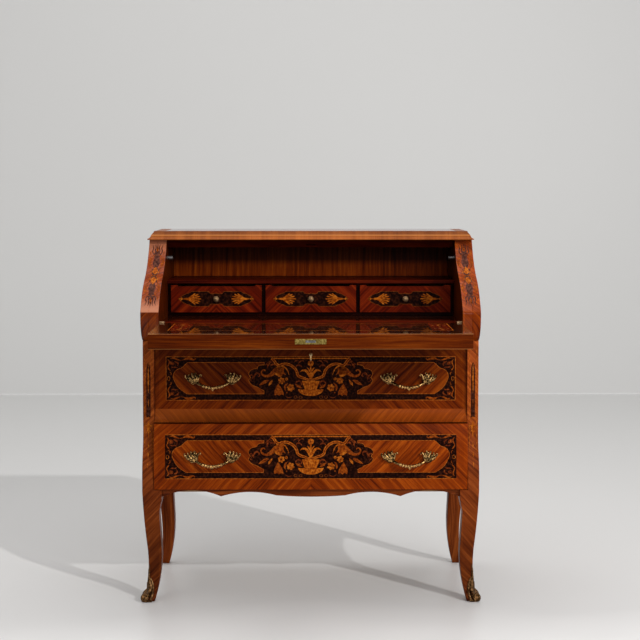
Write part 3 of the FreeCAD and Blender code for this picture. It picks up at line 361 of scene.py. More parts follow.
class DESK_PG_inlays(bpy.types.PropertyGroup):
    """Colours of the woods that the marquetry is cut from"""

    ground_dark: tone("Ground, dark", (0.003, 0.0006, 0.0005), "Dark parts of the black ground")
    ground_middle: tone("Ground, middle", (0.010, 0.0020, 0.0010), "Body of the black ground")
    ground_light: tone("Ground, light", (0.034, 0.0080, 0.0030), "Light parts of the black ground")
    light_dark: tone("Foliage, dark", (0.1300, 0.0230, 0.0015), "Scorched parts of the light foliage")
    light_middle: tone("Foliage, middle", (0.2800, 0.0600, 0.0035), "Body of the light foliage")
    light_light: tone("Foliage, light", (0.4400, 0.1250, 0.0110), "Clear parts of the light foliage")
    warm_dark: tone("Horns, dark", (0.1000, 0.0160, 0.0013), "Scorched parts of the horns and the leaves")
    warm_middle: tone("Horns, middle", (0.1950, 0.0340, 0.0022), "Body of the horns and the leaves")
    warm_light: tone("Horns, light", (0.2900, 0.0640, 0.0050), "Clear parts of the horns and the leaves")
    red_dark: tone("Scrolls, dark", (0.0420, 0.0060, 0.0012), "Scorched parts of the red scrolls")
    red_middle: tone("Scrolls, middle", (0.1050, 0.0165, 0.0030), "Body of the red scrolls")
    red_light: tone("Scrolls, light", (0.2100, 0.0420, 0.0070), "Clear parts of the red scrolls")
    gold_dark: tone("Urn, dark", (0.1700, 0.0300, 0.0018), "Scorched parts of the urn and the palmettes")
    gold_middle: tone("Urn, middle", (0.3100, 0.0640, 0.0032), "Body of the urn and the palmettes")
    gold_light: tone("Urn, light", (0.4700, 0.1320, 0.0110), "Clear parts of the urn and the palmettes")
    plum_dark: tone("Arabesque, dark", (0.0240, 0.0070, 0.0044), "Dark parts of the stiles' arabesque")
    plum_middle: tone("Arabesque, middle", (0.0620, 0.0190, 0.0120), "Body of the stiles' arabesque")
    plum_light: tone("Arabesque, light", (0.1150, 0.0380, 0.0240), "Light parts of the stiles' arabesque")
    dull_dark: tone("Fine string, dark", (0.0950, 0.0170, 0.0020), "Dark parts of the fine strings")
    dull_middle: tone("Fine string, middle", (0.1600, 0.0340, 0.0040), "Body of the fine strings")
    dull_light: tone("Fine string, light", (0.2400, 0.0620, 0.0080), "Light parts of the fine strings")
    string_dark: tone("String, dark", (0.1800, 0.0340, 0.0030), "Dark parts of the panel's strings")
    string_middle: tone("String, middle", (0.2900, 0.0660, 0.0060), "Body of the panel's strings")
    string_light: tone("String, light", (0.4200, 0.1150, 0.0140), "Light parts of the panel's strings")


class DESK_PG_metals(bpy.types.PropertyGroup):
    """Colours of the mounts and the ironmongery"""

    bronze_dark: tone("Bronze, dark", (0.016, 0.0090, 0.0030), "Tarnish in the hollows of the mounts")
    bronze_light: tone("Bronze, light", (0.5400, 0.3100, 0.1100), "Rubbed parts of the mounts")
    sabot_dark: tone("Sabot, dark", (0.0500, 0.0230, 0.0070), "Tarnish in the hollows of the sabots")
    sabot_light: tone("Sabot, light", (0.2300, 0.1180, 0.0480), "Rubbed parts of the sabots")
    knob_dark: tone("Knob, dark", (0.2000, 0.1150, 0.0560), "Tarnish of the knobs and the hinges")
    knob_light: tone("Knob, light", (0.4000, 0.2500, 0.1350), "Rubbed parts of the knobs and the hinges")
    brass_dark: tone("Brass, dark", (0.1400, 0.0950, 0.0200), "Tarnish of the lock plate")
    brass_light: tone("Brass, light", (0.3300, 0.2400, 0.0700), "Rubbed parts of the lock plate")
    key_light: tone("Key, light", (0.8500, 0.6800, 0.4200), "Rubbed parts of the key")
    steel_dark: tone("Steel, dark", (0.110, 0.1050, 0.1000), "Dark parts of the steel")
    steel_light: tone("Steel, light", (0.260, 0.2500, 0.2500), "Rubbed parts of the steel")


class DESK_PG_sizes(bpy.types.PropertyGroup):
    """Sizes of the finish"""

    fine_arris: length("Fine arris", 0.6, "Rounding of most wooden edges")
    soft_arris: length("Soft arris", 1.2, "Rounding of the legs, the sides and the apron")
    top_arris: length("Top arris", 0.3, "Rounding of the top board's edges")
    leaf: length("Leaf of veneer", 70, "Width of one leaf of veneer")
    moulding_leaf: length("Leaf on the moulding", 90, "Width of one leaf of veneer on the moulding")
    lift: length("Inlay lift", 0.10, "How far the lowest inlay stands off the wood below it")
    deck: length("Inlay step", 0.05, "How far each layer of inlay stands above the one below")
    row: length("Inlay row", 4, "Height of the rows that let flat inlays follow a curved front")
    pull_cell: length("Pull detail", 0.65, "Smallest detail of the pulls' casting")
    sabot_cell: length("Sabot detail", 0.7, "Smallest detail of the sabots' casting")


def shades(group, wood):
    """The dark, middle and light colour of one wood, from a group of the panel."""
    return {step: tuple(getattr(group, f"{wood}_{step}")) for step in ("dark", "middle", "light")}


def in_radians(angles):
    return [math.radians(angle) for angle in angles]


def added(name, data):
    """A new object for this mesh or curve, in the scene."""
    thing = bpy.data.objects.new(name, data)
    bpy.context.collection.objects.link(thing)
    return thing


def pick(*pieces):
    """Selects these pieces and nothing else. The last one is the active one."""
    bpy.ops.object.select_all(action="DESELECT")
    for piece in pieces:
        piece.select_set(True)
    bpy.context.view_layer.objects.active = pieces[-1]


def apply_all(piece):
    pick(piece)
    for modifier in list(piece.modifiers):
        bpy.ops.object.modifier_apply(modifier=modifier.name)


# How near points are merged, and the angles of a flat seam, of a smooth face and of an arris

MERGE, FLAT, SMOOTH, ARRIS = 0.00001, math.radians(0.4), math.radians(32), math.radians(33)


def eased(node, finish, edge):
    """A copy of a wooden piece with its arrises eased by this much, as a polisher leaves them."""
    mesh = frame["nodes"][node].data.copy()
    mesh.materials.clear()
    mesh.materials.append(finish)
    piece = added(node + "_polished", mesh)
    pick(piece)
    bpy.ops.mesh.customdata_custom_splitnormals_clear()
    bpy.ops.object.mode_set(mode="EDIT")
    bpy.ops.mesh.select_all(action="SELECT")
    bpy.ops.mesh.remove_doubles(threshold=MERGE)
    bpy.ops.mesh.dissolve_limited(angle_limit=FLAT)
    bpy.ops.object.mode_set(mode="OBJECT")
    bpy.ops.object.shade_smooth_by_angle(angle=SMOOTH)
    bevel = piece.modifiers.new("arris", "BEVEL")
    bevel.width = edge
    bevel.segments = 2
    bevel.limit_method = "ANGLE"
    bevel.angle_limit = ARRIS
    bevel.use_clamp_overlap = True
    even = piece.modifiers.new("even", "WEIGHTED_NORMAL")
    even.keep_sharp = True
    apply_all(piece)
    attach(piece, BODY_OF[node])
    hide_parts(node)
    return piece


# The cut veneers' figure, in cells to the metre

SCORCH = (170.0, 60.0, 170.0)
INLAY_GRAIN = (900.0, 200.0, 120.0)
INLAY_STOPS = (0.36, 0.50, 0.62)
INLAY_GLOSS, INLAY_SHINE, INLAY_DEPTH = 0.28, 0.02, 0.00005


def inlay(name, dark, middle, light):
    """A thin cut veneer whose edges were shaded in hot sand, so its tone wanders."""
    finish = Finish(name)
    x, y, z = finish.place()
    burn = finish.noise(*(place * cells for place, cells in zip((x, y, z), SCORCH)), 2.0, 0.5)
    grain = finish.noise(*(place * cells for place, cells in zip((x + z, y, x - z), INLAY_GRAIN)), 3.0)
    colour = finish.ramp(burn * 0.7 + grain * 0.3, list(zip(INLAY_STOPS, (dark, middle, light))))
    return finish.surface(
        Base__Color=colour,
        Roughness=grain * 0.15 + INLAY_GLOSS,
        Specular__IOR__Level=INLAY_SHINE,
        Normal=finish.bump(grain, INLAY_DEPTH, 0.4),
    )


def cut_woods(group):
    """The woods that the marquetry is cut from, by name."""
    return {
        wood: inlay(f"{wood}_inlay", **shades(group, wood))
        for wood in ("ground", "light", "warm", "red", "gold", "plum", "dull", "string")
    }


# Each way to press: how the drawing is turned in degrees, where it starts, and which way it is pressed
PRESSINGS = {
    "front": ((90, 0, 0), Vector((0, -0.7, 0)), Vector((0, 1, 0))),
    "top": ((0, 0, 0), Vector((0, 0, 1.2)), Vector((0, 0, -1))),
    "under": ((180, 0, 0), Vector((0, 0, 0.4)), Vector((0, 0, 1))),
    "right": ((90, 0, 90), Vector((0.7, 0, 0)), Vector((-1, 0, 0))),
    "left": ((90, 0, -90), Vector((-0.7, 0, 0)), Vector((1, 0, 0))),
}


def joined_copy(nodes):
    """One bare mesh of several CAD pieces, to press shapes onto. Its caller removes it."""
    copies = [added(node + "_target", frame["nodes"][node].data.copy()) for node in nodes]
    pick(*copies)
    bpy.ops.object.join()
    return copies[-1]


class Marquetry:
    """Shapes cut from thin veneers for one face, in millimetres from the face's own middle.

    They are drawn as the face is seen from the front: outwards, then upwards. Every shape gets its
    mirror image. A stroke is a leaf or a band, whose third number is its width. Higher decks lie on
    top of lower ones.
    """

    def __init__(self, name, woods, sizes):
        self.name = name
        self.woods = woods
        self.sizes = sizes
        self.drawn = {}
        bpy.ops.object.select_all(action="DESELECT")
        rule = bpy.data.curves.new(name + "_rule", "CURVE")
        line = rule.splines.new("POLY")
        line.points.add(1)
        line.points[0].co = (-0.5, 0, 0, 1)
        line.points[1].co = (0.5, 0, 0, 1)
        self.rule = added(rule.name, rule)

    def _splines(self, deck, wood, flat):
        key = (deck, wood, flat)
        if key not in self.drawn:
            curve = bpy.data.curves.new(f"{self.name}_{deck}_{wood}", "CURVE")
            curve.dimensions = "2D"
            curve.resolution_u = 6
            if flat:
                curve.fill_mode = "BOTH"
            else:
                curve.fill_mode = "NONE"
                curve.bevel_mode = "OBJECT"
                curve.bevel_object = self.rule
            curve.materials.append(self.woods[wood])
            self.drawn[key] = curve
        return self.drawn[key].splines

    def _draw(self, splines, points, side, closed):
        spline = splines.new("BEZIER")
        spline.bezier_points.add(len(points) - 1)
        for knot, (out, up, *rest) in zip(spline.bezier_points, points):
            knot.co = (side * out * MM, up * MM, 0)
            handle = "VECTOR" if "c" in rest else "AUTO"
            knot.handle_left_type = knot.handle_right_type = handle
            if rest and rest[0] != "c":
                knot.radius = rest[0] * MM
        spline.use_cyclic_u = closed

    def _both(self, splines, points, closed):
        if closed and points[0][0] == 0:
            mirrored = [(-out, *rest) for out, *rest in reversed(points[1:]) if out != 0]
            self._draw(splines, [*points, *mirrored], 1, closed)
            return
        middle_only = all(point[0] == 0 for point in points)
        for side in (1,) if middle_only else (1, -1):
            self._draw(splines, points, side, closed)

    def shape(self, deck, wood, *outlines):
        """Filled leaves. An outline inside another one of the same call is a hole in it."""
        for outline in outlines:
            self._both(self._splines(deck, wood, True), outline, True)

    def strokes(self, deck, wood, *strokes, flips=(1,)):
        for stroke in strokes:
            for flip in flips:
                turned = [(out, up * flip, *rest) for out, up, *rest in stroke]
                self._both(self._splines(deck, wood, False), turned, False)

    def edging(self, deck, wood, width, outline):
        """A string of even width along a closed outline."""
        points = [(point[0], point[1], width, *point[2:]) for point in outline]
        self._both(self._splines(deck, wood, False), points, True)

    def pressed(self, nodes, way, centre, rows=None):
        """Presses all that is drawn onto these nodes, about this centre, and makes it one piece."""
        target = joined_copy(nodes)
        turn, start, push = PRESSINGS[way]
        parts = []
        for (deck, wood, flat), curve in self.drawn.items():
            part = added(curve.name, curve)
            pick(part)
            bpy.ops.object.convert(target="MESH")
            if rows and flat:
                self._cut_rows(*rows, self.sizes.row)
            part.rotation_euler = in_radians(turn)
            part.location = Vector(centre) * Vector([1 - abs(axis) for axis in push]) + start
            bpy.ops.object.transform_apply(location=True, rotation=True, scale=True)
            wrap = part.modifiers.new("press", "SHRINKWRAP")
            wrap.target = target
            wrap.wrap_method = "PROJECT"
            wrap.use_project_x = push.x != 0
            wrap.use_project_y = push.y != 0
            wrap.use_project_z = push.z != 0
            wrap.use_positive_direction = sum(push) > 0
            wrap.use_negative_direction = sum(push) < 0
            wrap.offset = self.sizes.lift + deck * self.sizes.deck
            apply_all(part)
            parts.append(part)
        pick(*parts)
        bpy.ops.object.join()
        piece = parts[-1]
        piece.name = self.name
        bpy.ops.object.shade_smooth()
        for face in piece.data.polygons:
            face.select = face.normal.dot(push) > 0
        bpy.ops.object.mode_set(mode="EDIT")
        bpy.ops.mesh.select_mode(type="FACE")
        bpy.ops.mesh.flip_normals()
        bpy.ops.object.mode_set(mode="OBJECT")
        bpy.data.objects.remove(self.rule)
        bpy.data.objects.remove(target)
        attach(piece, BODY_OF[nodes[0]])
        return piece

    @staticmethod
    def _cut_rows(low, high, gap):
        """Cuts flat shapes into rows, so that they can follow a curved face."""
        bpy.ops.object.mode_set(mode="EDIT")
        for row in range(int((high - low) * MM / gap) + 1):
            bpy.ops.mesh.select_all(action="SELECT")
            height = low * MM + row * gap
            bpy.ops.mesh.bisect(plane_co=(0, height, 0), plane_no=(0, 1, 0))
        bpy.ops.object.mode_set(mode="OBJECT")


# Where the photograph was taken from: the camera's place, its turn in degrees, and its lens

CAMERA_PLACE = (0.0026, -3.8684, 1.0825)
CAMERA_TURN = (90 - 2.628, 0, -0.324)
LENS, LENS_SHIFT = 82.3, -0.10


class DESK_OT_camera(bpy.types.Operator):
    """Place the camera where the photograph was taken"""

    bl_idname = "desk.camera"
    bl_label = "Camera"

    def execute(self, context):
        bpy.ops.object.camera_add()
        camera = context.object
        camera.location = CAMERA_PLACE
        camera.rotation_euler = in_radians(CAMERA_TURN)
        camera.data.lens = LENS
        camera.data.shift_y = LENS_SHIFT
        context.scene.camera = camera
        return {"FINISHED"}


# The floor's size and shift, the wall's height, the soft corner between them, and the paper's tones,
# which are painted light: lighter towards the camera and darker away from it

FLOOR, FLOOR_SHIFT, WALL = (24, 12.0), -2.20, 7
COVE, COVE_STEPS = 8 * MM, 12
PAPER_CLOUDS = (0.7, 0.9, 0.5)
PAPER_PAINTED_LIGHT = [(0.05, (0.556, 0.550, 0.538)), (0.47, (0.59, 0.578, 0.567)), (0.56, (0.80, 0.785, 0.770))]

# The daylight, the sun, and the area lamps: place, size, watts, and turn in degrees

AIR, AIR_STRENGTH = (0.97, 0.98, 1.0, 1.0), 0.34
SUN_STRENGTH, SUN_WIDTH, SUN_TURN = 1.48, 1.2, (90 - 29.5, 0, 42)
LAMPS = [
    ((0.1, 0.0, 3.9), (4.6, 4.2), 124, (0, 0, 0)),
    ((1.3, -4.4, 2.1), (2.6, 1.4), 46, (72, 0, 16)),
    ((2.3, -2.3, 1.5), (1.0, 1.0), 16, (76, 0, 45)),
]


class DESK_OT_studio(bpy.types.Operator):
    """Lay a pale floor that turns up into a backdrop, and set the lamps"""

    bl_idname = "desk.studio"
    bl_label = "Studio"

    def execute(self, context):
        bpy.ops.mesh.primitive_plane_add(size=1)
        sheet = context.object
        sheet.name = "backdrop"
        bpy.ops.object.mode_set(mode="EDIT")
        bpy.ops.transform.resize(value=(*FLOOR, 1))
        bpy.ops.transform.translate(value=(0, FLOOR_SHIFT, 0))
        bpy.ops.mesh.select_all(action="DESELECT")
        bpy.ops.object.mode_set(mode="OBJECT")
        for edge in sheet.data.edges:
            ends = [sheet.data.vertices[index].co.y for index in edge.vertices]
            edge.select = min(ends) > 0
        bpy.ops.object.mode_set(mode="EDIT")
        bpy.ops.mesh.extrude_region_move(TRANSFORM_OT_translate={"value": (0, 0, WALL)})
        bpy.ops.object.mode_set(mode="OBJECT")
        cove = sheet.modifiers.new("cove", "BEVEL")
        cove.width = COVE
        cove.segments = COVE_STEPS
        apply_all(sheet)
        bpy.ops.object.shade_smooth()
        finish = Finish("studio_paper")
        x, y, z = finish.place()
        soft = finish.noise(*(place * cells for place, cells in zip((x, y, z), PAPER_CLOUDS)))
        # Painted light: the paper grows lighter towards the camera and darker towards the wall
        depth = y * -0.13 + 0.45 + (soft - 0.5) * 0.25
        sheet.data.materials.append(
            finish.surface(Base__Color=finish.ramp(depth, PAPER_PAINTED_LIGHT), Roughness=0.36, Specular__IOR__Level=0.32)
        )

        world = bpy.data.worlds.new("studio_air")
        context.scene.world = world
        world.use_nodes = True
        air = world.node_tree.nodes["Background"]
        air.inputs["Color"].default_value = AIR
        air.inputs["Strength"].default_value = AIR_STRENGTH

        bpy.ops.object.light_add(type="SUN")
        key = context.object
        key.data.energy = SUN_STRENGTH
        key.data.angle = math.radians(SUN_WIDTH)
        key.rotation_euler = in_radians(SUN_TURN)
        for place, size, watts, turn in LAMPS:
            bpy.ops.object.light_add(type="AREA", location=place)
            lamp = context.object
            lamp.data.shape = "RECTANGLE"
            lamp.data.size, lamp.data.size_y = size
            lamp.data.energy = watts
            lamp.rotation_euler = in_radians(turn)
        context.scene.view_settings.view_transform = "Standard"
        return {"FINISHED"}


# Places that the painted light and shade, the painted sheen and the strings of the woods go by, in metres

LIP_TOP, LIP_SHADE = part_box("upper_drawer_front")[0].z + 32 * MM, 0.471
TOP_SHADE, BACK_OUTSIDE = 0.862, 0.3560
WRITING_SIDE, FLAP_MIDDLE, FLAP_STRING = 0.7325, 0.7148, 0.0176
FLAP_FRONT, STRING_FRONT, CORNER_FRONT = 0.3552, 0.3550, 0.0668
MOULDING_EDGE, MOULDING_ROLL = 0.9575, 0.9560
FOLD, HIGH_SHEEN, LOW_SHEEN, STILE_IN = 0.763, 0.893, 0.803, 0.3945
FOOT_SHADE = 0.10

# The line of sight past the flap's corners, which bounds their painted reflection: how far off the eye is,
# and its slope

SIGHT, SIGHT_SLOPE = 3.868, 0.1033


def steady(amount):
    """A rule that gives the same amount everywhere."""
    return lambda x, y, z: z * 0.0 + amount


# The woods' rules: each gives an amount, or the two coordinates of a lay, for a point of the desk


def front_with_lip(x, y, z):
    lip = (z + abs(x)) * HALF_ROOT, (abs(x) - z) * HALF_ROOT
    return two_lays(z.above(LIP_TOP), lip, laid_rising(x, y, z))


def upper_flap_shade(x, y, z):
    """Painted shade: darker upwards in the flap's shadow, and a painted lighter band on the lip."""
    return z.above(LIP_TOP).chosen(1.1, 0.90 - (z - LIP_SHADE) * 2.5)


def upper_calm(x, y, z):
    return z.above(LIP_TOP).chosen(0.25, 0.15)


# Painted light: a lighter, golden band on the lip where it catches the light, fading from left to right
def lip_painted_light(x, y, z):
    return z.above(LIP_TOP).chosen(0.23, 0.0) * (1.0 - x * 0.8)


def back_painted_shade(x, y, z):
    """Painted shade: nearly black under the top, then lighter where the daylight reaches, and darker on the
    outer face.
    """
    light = (1.35 - (z - TOP_SHADE) * 60.0).clamped(0.30, 1.35)
    return light * y.above(BACK_OUTSIDE).chosen(1.0, 0.4)


def edge_lay(x, y, z):
    return two_lays((y * -1.0).above(FLAP_FRONT), laid_deep(x, y, z), laid_lengthwise(x, y, z))


def flap_coat(x, y, z):
    return z.above(WRITING_SIDE)


# Painted shade: the writing side darkest, its underside dark, and the front edge lighter to the right, where
# the light comes from
def flap_painted_shade(x, y, z):
    front = (y * -1.0).above(FLAP_FRONT)
    return front.chosen(z.above(WRITING_SIDE).chosen(0.34, 0.125), x * 0.18 + 0.43)


def moulding_shading(x, y, z):
    """A dark upper edge over a clear lower member, and a painted lighter middle."""
    return z.above(MOULDING_EDGE).chosen(1.0, 0.70) * (1.15 - abs(x) * 0.5)


# A painted highlight: a pale line along the moulding's roll
def top_roll_highlight(x, y, z):
    return (1.0 - abs(z - MOULDING_ROLL) * 420.0).clamped(0.0, 0.44)


def stile_shading(x, y, z):
    """Painted light, lighter to the right where the light comes from; the nose below the fold is darker."""
    return z.above(FOLD).chosen(x * 0.5 + 0.87, x * 0.25 + 1.18)


def stile_sheen(x, y, z):
    """A painted sheen: paler under the top and just above the fold, strong on the left stile and faint on
    the right.
    """
    high = ((z - HIGH_SHEEN) * 16.0).clamped(0.0, 0.60)
    low = ((LOW_SHEEN - z) * 24.0).clamped(0.0, 0.86)
    return (high + low * z.above(FOLD)) * (0.52 - x * 1.05)


def stile_coat(x, y, z):
    return 0.09 - x * 0.15


# Painted shade: dark where the cheeks stand inside the nest, and shaded as the stiles beside them
def cheek_painted_shade(x, y, z):
    return abs(x).above(STILE_IN).chosen(0.30, stile_shading(x, y, z))


# The stiles' painted sheen, on the part of the cheeks beside them
def cheek_sheen(x, y, z):
    return stile_sheen(x, y, z) * abs(x).above(STILE_IN)


# Painted light: the lower front lighter to the right, where the light comes from
def lower_painted_light(x, y, z):
    return x * 0.42 + 1.01


def leg_shading(x, y, z):
    """Painted shade: clear at the posts, darker down the legs under the case, and painted lighter to the
    right.
    """
    return (0.55 + (z - FOOT_SHADE) * 2.35).clamped(0.53, 1.55) * (x * 0.42 + 1.12)


# Painted light: the back legs lighter to the left and darker to the right
def far_painted_light(x, y, z):
    return 1.12 - x * 0.65


def edge_strings_and_corner_sheen(x, y, z):
    """Light strings along both arrises of the flap's front edge, and a painted reflection on the writing
    side at its front corners, out to the line of sight past them.
    """
    front = (y * -1.0).above(STRING_FRONT)
    strings = front * abs(z - FLAP_MIDDLE).above(FLAP_STRING) * (x * 0.2 + 0.36)
    corner = ((abs(x) - (y + SIGHT) * SIGHT_SLOPE) * 60.0).clamped(0.0, 1.0)
    corner = corner * z.above(WRITING_SIDE) * (y * -1.0).above(CORNER_FRONT)
    return strings + corner * (0.42 - x * 0.50)


def cut_veneers(woods, sizes):
    """The veneers of the case and the carcass wood, by what they cover."""
    red, brown, amber, golden, plain_wood = (
        shades(woods, wood) for wood in ("red", "brown", "amber", "golden", "plain")
    )
    sheen = tuple(woods.sheen)
    return {
        "stile": veneer(
            "stile_veneer", laid_rising, seed=1.0, coat=stile_coat, painted_light=stile_shading, string=stile_sheen,
            string_and_sheen_tone=sheen, **amber,
        ),
        "cheek": veneer(
            "cheek_veneer", laid_rising, seed=1.0, coat=0.15, painted_light=cheek_painted_shade, string=cheek_sheen,
            string_and_sheen_tone=sheen, **amber,
        ),
        "crossband": veneer("crossband", laid_rising, seed=2.0, streak=0.8, painted_light=leg_shading, **brown),
        "back_leg": veneer("back_leg_veneer", laid_upright, seed=13.0, streak=0.6, painted_light=far_painted_light, **brown),
        "upper_face": veneer(
            "upper_front_veneer", front_with_lip, leaf=sizes.leaf, seed=3.0, streak=0.66, painted_light=upper_flap_shade,
            calm=upper_calm, string=lip_painted_light, string_and_sheen_tone=golden["light"], **amber
        ),
        "lower_face": veneer(
            "lower_front_veneer", laid_rising, leaf=sizes.leaf, seed=4.0, streak=0.62, painted_light=lower_painted_light,
            calm=steady(0.15), **amber
        ),
        "moulding": veneer(
            "moulding_veneer", laid_across, seed=5.0, leaf=sizes.moulding_leaf, streak=0.4, coat=0.1,
            calm=steady(0.5), painted_light=moulding_shading, string=top_roll_highlight, string_and_sheen_tone=tuple(woods.roll), **golden,
        ),
        "shaded": veneer("rail_veneer", laid_lengthwise, seed=6.0, painted_light=steady(0.3), **red),
        "apron": veneer("apron_veneer", laid_lengthwise, seed=12.0, coat=0.02, **brown),
        "inside": veneer("inside_veneer", laid_upright, seed=7.0, streak=0.7, painted_light=back_painted_shade, **amber),
        "deep": veneer("deep_veneer", laid_deep, seed=8.0, coat=0.9, **red),
        "bed": veneer(
            "bed_veneer", edge_lay, seed=8.0, coat=flap_coat, painted_light=flap_painted_shade, string=edge_strings_and_corner_sheen,
            string_and_sheen_tone=tuple(woods.string), polish=0.03, **amber,
        ),
        "gap": veneer("nest_shadow_veneer", laid_lengthwise, seed=6.0, painted_light=steady(0.12), **red),
        # Painted shade: the shelf and the front rail darkened as in the nest's shade
        "shelf": veneer("shelf_veneer", laid_lengthwise, seed=6.0, painted_light=steady(0.55), **red),
        "plain": veneer("carcass", laid_lengthwise, seed=9.0, gloss=0.45, **plain_wood),
        "plain_deep": veneer("carcass_sides", laid_deep, seed=9.0, gloss=0.45, **plain_wood),
    }


# Each wooden piece: the veneer that it wears, and how far its arrises are eased

WORK = {
    "right_side": ("stile", "soft"),
    "left_side": ("stile", "soft"),
    "right_cheek": ("cheek", "fine"),
    "left_cheek": ("cheek", "fine"),
    "back_panel": ("inside", "fine"),
    "front_rail": ("shelf", "fine"),
    "interior_floor": ("bed", "fine"),
    "dust_board": ("plain", "fine"),
    "bottom_board": ("plain", "fine"),
    "right_guides": ("plain_deep", "fine"),
    "left_guides": ("plain_deep", "fine"),
    "strike_rail": ("shaded", "fine"),
    "top_board": ("deep", "top"),
    "top_moulding": ("moulding", "fine"),
    "right_front_leg": ("crossband", "soft"),
    "left_front_leg": ("crossband", "soft"),
    "right_back_leg": ("back_leg", "soft"),
    "left_back_leg": ("back_leg", "soft"),
    "front_apron": ("apron", "soft"),
    "back_apron": ("plain", "fine"),
    "flap": ("bed", "fine"),
    "upper_drawer_front": ("upper_face", "fine"),
    "lower_drawer_front": ("lower_face", "fine"),
    "nest_bottom": ("gap", "fine"),
    "nest_shelf": ("shelf", "fine"),
    "nest_uprights": ("gap", "fine"),
    **{
        f"{level}_drawer_{part}": (wood, "fine")
        for level in ("upper", "lower")
        for part, wood in (("back", "plain"), ("bottom", "plain"), ("sides", "plain_deep"))
    },
}


class DESK_OT_woodwork(bpy.types.Operator):
    """Veneer and polish the wooden pieces, each with its own lay of the grain"""

    bl_idname = "desk.woodwork"
    bl_label = "Woodwork"

    def execute(self, context):
        woods = context.scene.desk_woods
        sizes = context.scene.desk_sizes
        red = shades(woods, "red")
        cut = cut_veneers(woods, sizes)
        work = {node: (cut[wood], getattr(sizes, f"{arris}_arris")) for node, (wood, arris) in WORK.items()}
        for word in ("left", "middle", "right"):
            low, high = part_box(f"{word}_small_drawer_front")
            lay = rising_about((low.x + high.x) / 2)
            small = veneer(f"{word}_small_front_veneer", lay, seed=10.0 + low.x, **red)
            work[f"{word}_small_drawer_front"] = (small, sizes.fine_arris)
            work[f"{word}_small_drawer_box"] = (cut["plain"], sizes.fine_arris)
        for node, (finish, edge) in work.items():
            eased(node, finish, edge)
        return {"FINISHED"}


def ring(out, up, reach, rise):
    """Four knots of a small oval ring."""
    return [(out - reach, up), (out, up + rise), (out + reach, up), (out, up - rise)]


def half_frame(wide, first, last):
    """Half of an oblong frame, from one height to the other. Its mirror image closes it."""
    return [(0, first, "c"), (wide, first, "c"), (wide, last, "c"), (0, last, "c")]


# The long drawers' panel: half its width and height, and its shapes, all in millimetres

PANEL = (381, 57.5)
FIELD = [
    (323.7, 42.4, "c"), (329, 38.5), (333.7, 33.8), (340.7, 28), (351.2, 24), (358.3, 18),
    (362.5, 4), (357.7, -9), (353, -18), (345.8, -26.4), (338.1, -32.7), (331.6, -36.9),
    (325.8, -40.8, "c"), (123.3, -40.8, "c"), (123.3, -32.5, "c"), (130.6, -29), (142.6, -22.2),
    (152.3, -18.6), (159.9, -11.8), (163, -4.4), (158.1, 2, "c"), (163, 10.3), (160.9, 18.7),
    (152.3, 24.4), (141.1, 26.6, "c"), (138.4, 32.7), (130.1, 35.6), (122.7, 36.2, "c"),
    (122.7, 42.4, "c"),
]
BOWL = [
    (0, -8, "c"), (22.8, -8, "c"), (20.5, -15), (17, -24), (15.5, -29, "c"),
    (24, -29.5), (34, -28.5, "c"), (30.5, -35.5), (22, -41.5), (11, -45.3), (0, -46.2, "c"),
]
BUD = [(0, 47.4, "c"), (6, 44.8), (7.9, 39), (4.4, 34), (0, 32.7, "c")]
STRAP = [
    (103.4, 53.1, 7), (96.6, 46.8, 7), (90.8, 38.5, 7), (83, 34.3, 7), (76.4, 36.9, 7),
    (65.9, 38.5, 7), (55.5, 35.9, 7), (45, 29.3, 7), (37.2, 18.8, 7), (33.8, 8.4, 7),
    (28, 3.9, 7), (17.5, 0.5, 6.4), (8.4, -2.9, 5.8), (0, -3.9, 5.2),
]
HORN = [
    [
        (119.1, 19.4, 2.6), (122.2, 22.8, 3), (127.4, 21.5, 3.2), (130.1, 15.4, 3.9),
        (126.4, 9.2, 4.9), (118.3, 6.3, 6.2), (107.8, 8.6, 8.5), (98.7, 14.9, 12.4),
        (89.5, 20.7, 17.6), (80.3, 21.5, 22.9), (73.8, 20.2, 19.6),
    ],
]
HORN_MOUTH = [
    (98, 18), (86.4, 32), (77.3, 35), (70.5, 27.5), (71.5, 19.6), (65.5, 9, "c"), (73, 11.7),
    (77.3, 5.5, "c"), (84, 8), (95, 10.5),
]
BELL = [
    (86, -13.5, "c"), (91.5, -24), (96.5, -38), (94.5, -45.5, "c"), (88.5, -42.5), (83, -46.5, "c"),
    (77.5, -42.5), (71.5, -44.5, "c"), (73, -35), (78.5, -24),
]
HORN_LIPS = [
    [(89.5, 30.5, 1.6), (79, 33.5, 3.6), (68.6, 30, 3.2), (61.5, 21, 2.6), (57.5, 10, 1)],
    [(93.4, 13.6, 2.8), (87.7, 9.7, 6.3), (80.3, 6.5, 5), (74.6, 7.6, 0.8)],
]
HORN_FOLDS = [
    [(127.4, 12.3, 0.5), (117, 8.6, 1.6), (103.9, 12.3, 2.1), (93.4, 18.8, 2.1), (83, 22.8, 1)],
    [(84, 30, 0.4), (78, 23, 1.3), (76, 15, 1.1), (77, 9, 0.4)],
]
FLOWERS = [(77, -6, 9), (53, -24.5, 10), (64, -1.5, 4.2)]
LEAVES = [
    [(137.1, -18.1, 0.3), (129.5, -14.4, 6), (120.9, -9.2, 8.6), (114.4, -6, 5.2), (109.7, -5, 0.3)],
    [(40, -14.4, 0.5), (34.8, -19.6, 5.6), (28, -23.8, 5), (22.8, -25.4, 0.5)],
    [(62, -37.5, 3.4), (64.6, -37.5, 3.4)],
    [(60, -12, 0.5), (66, -18, 5), (68, -26, 5.4), (66, -33, 0.5)],
]
TRUMPETS = [
    [(110.7, -19.6, 0.5), (107.6, -13.9, 6.3), (103.4, -8.1, 5), (100.8, -3.4, 0.5)],
]
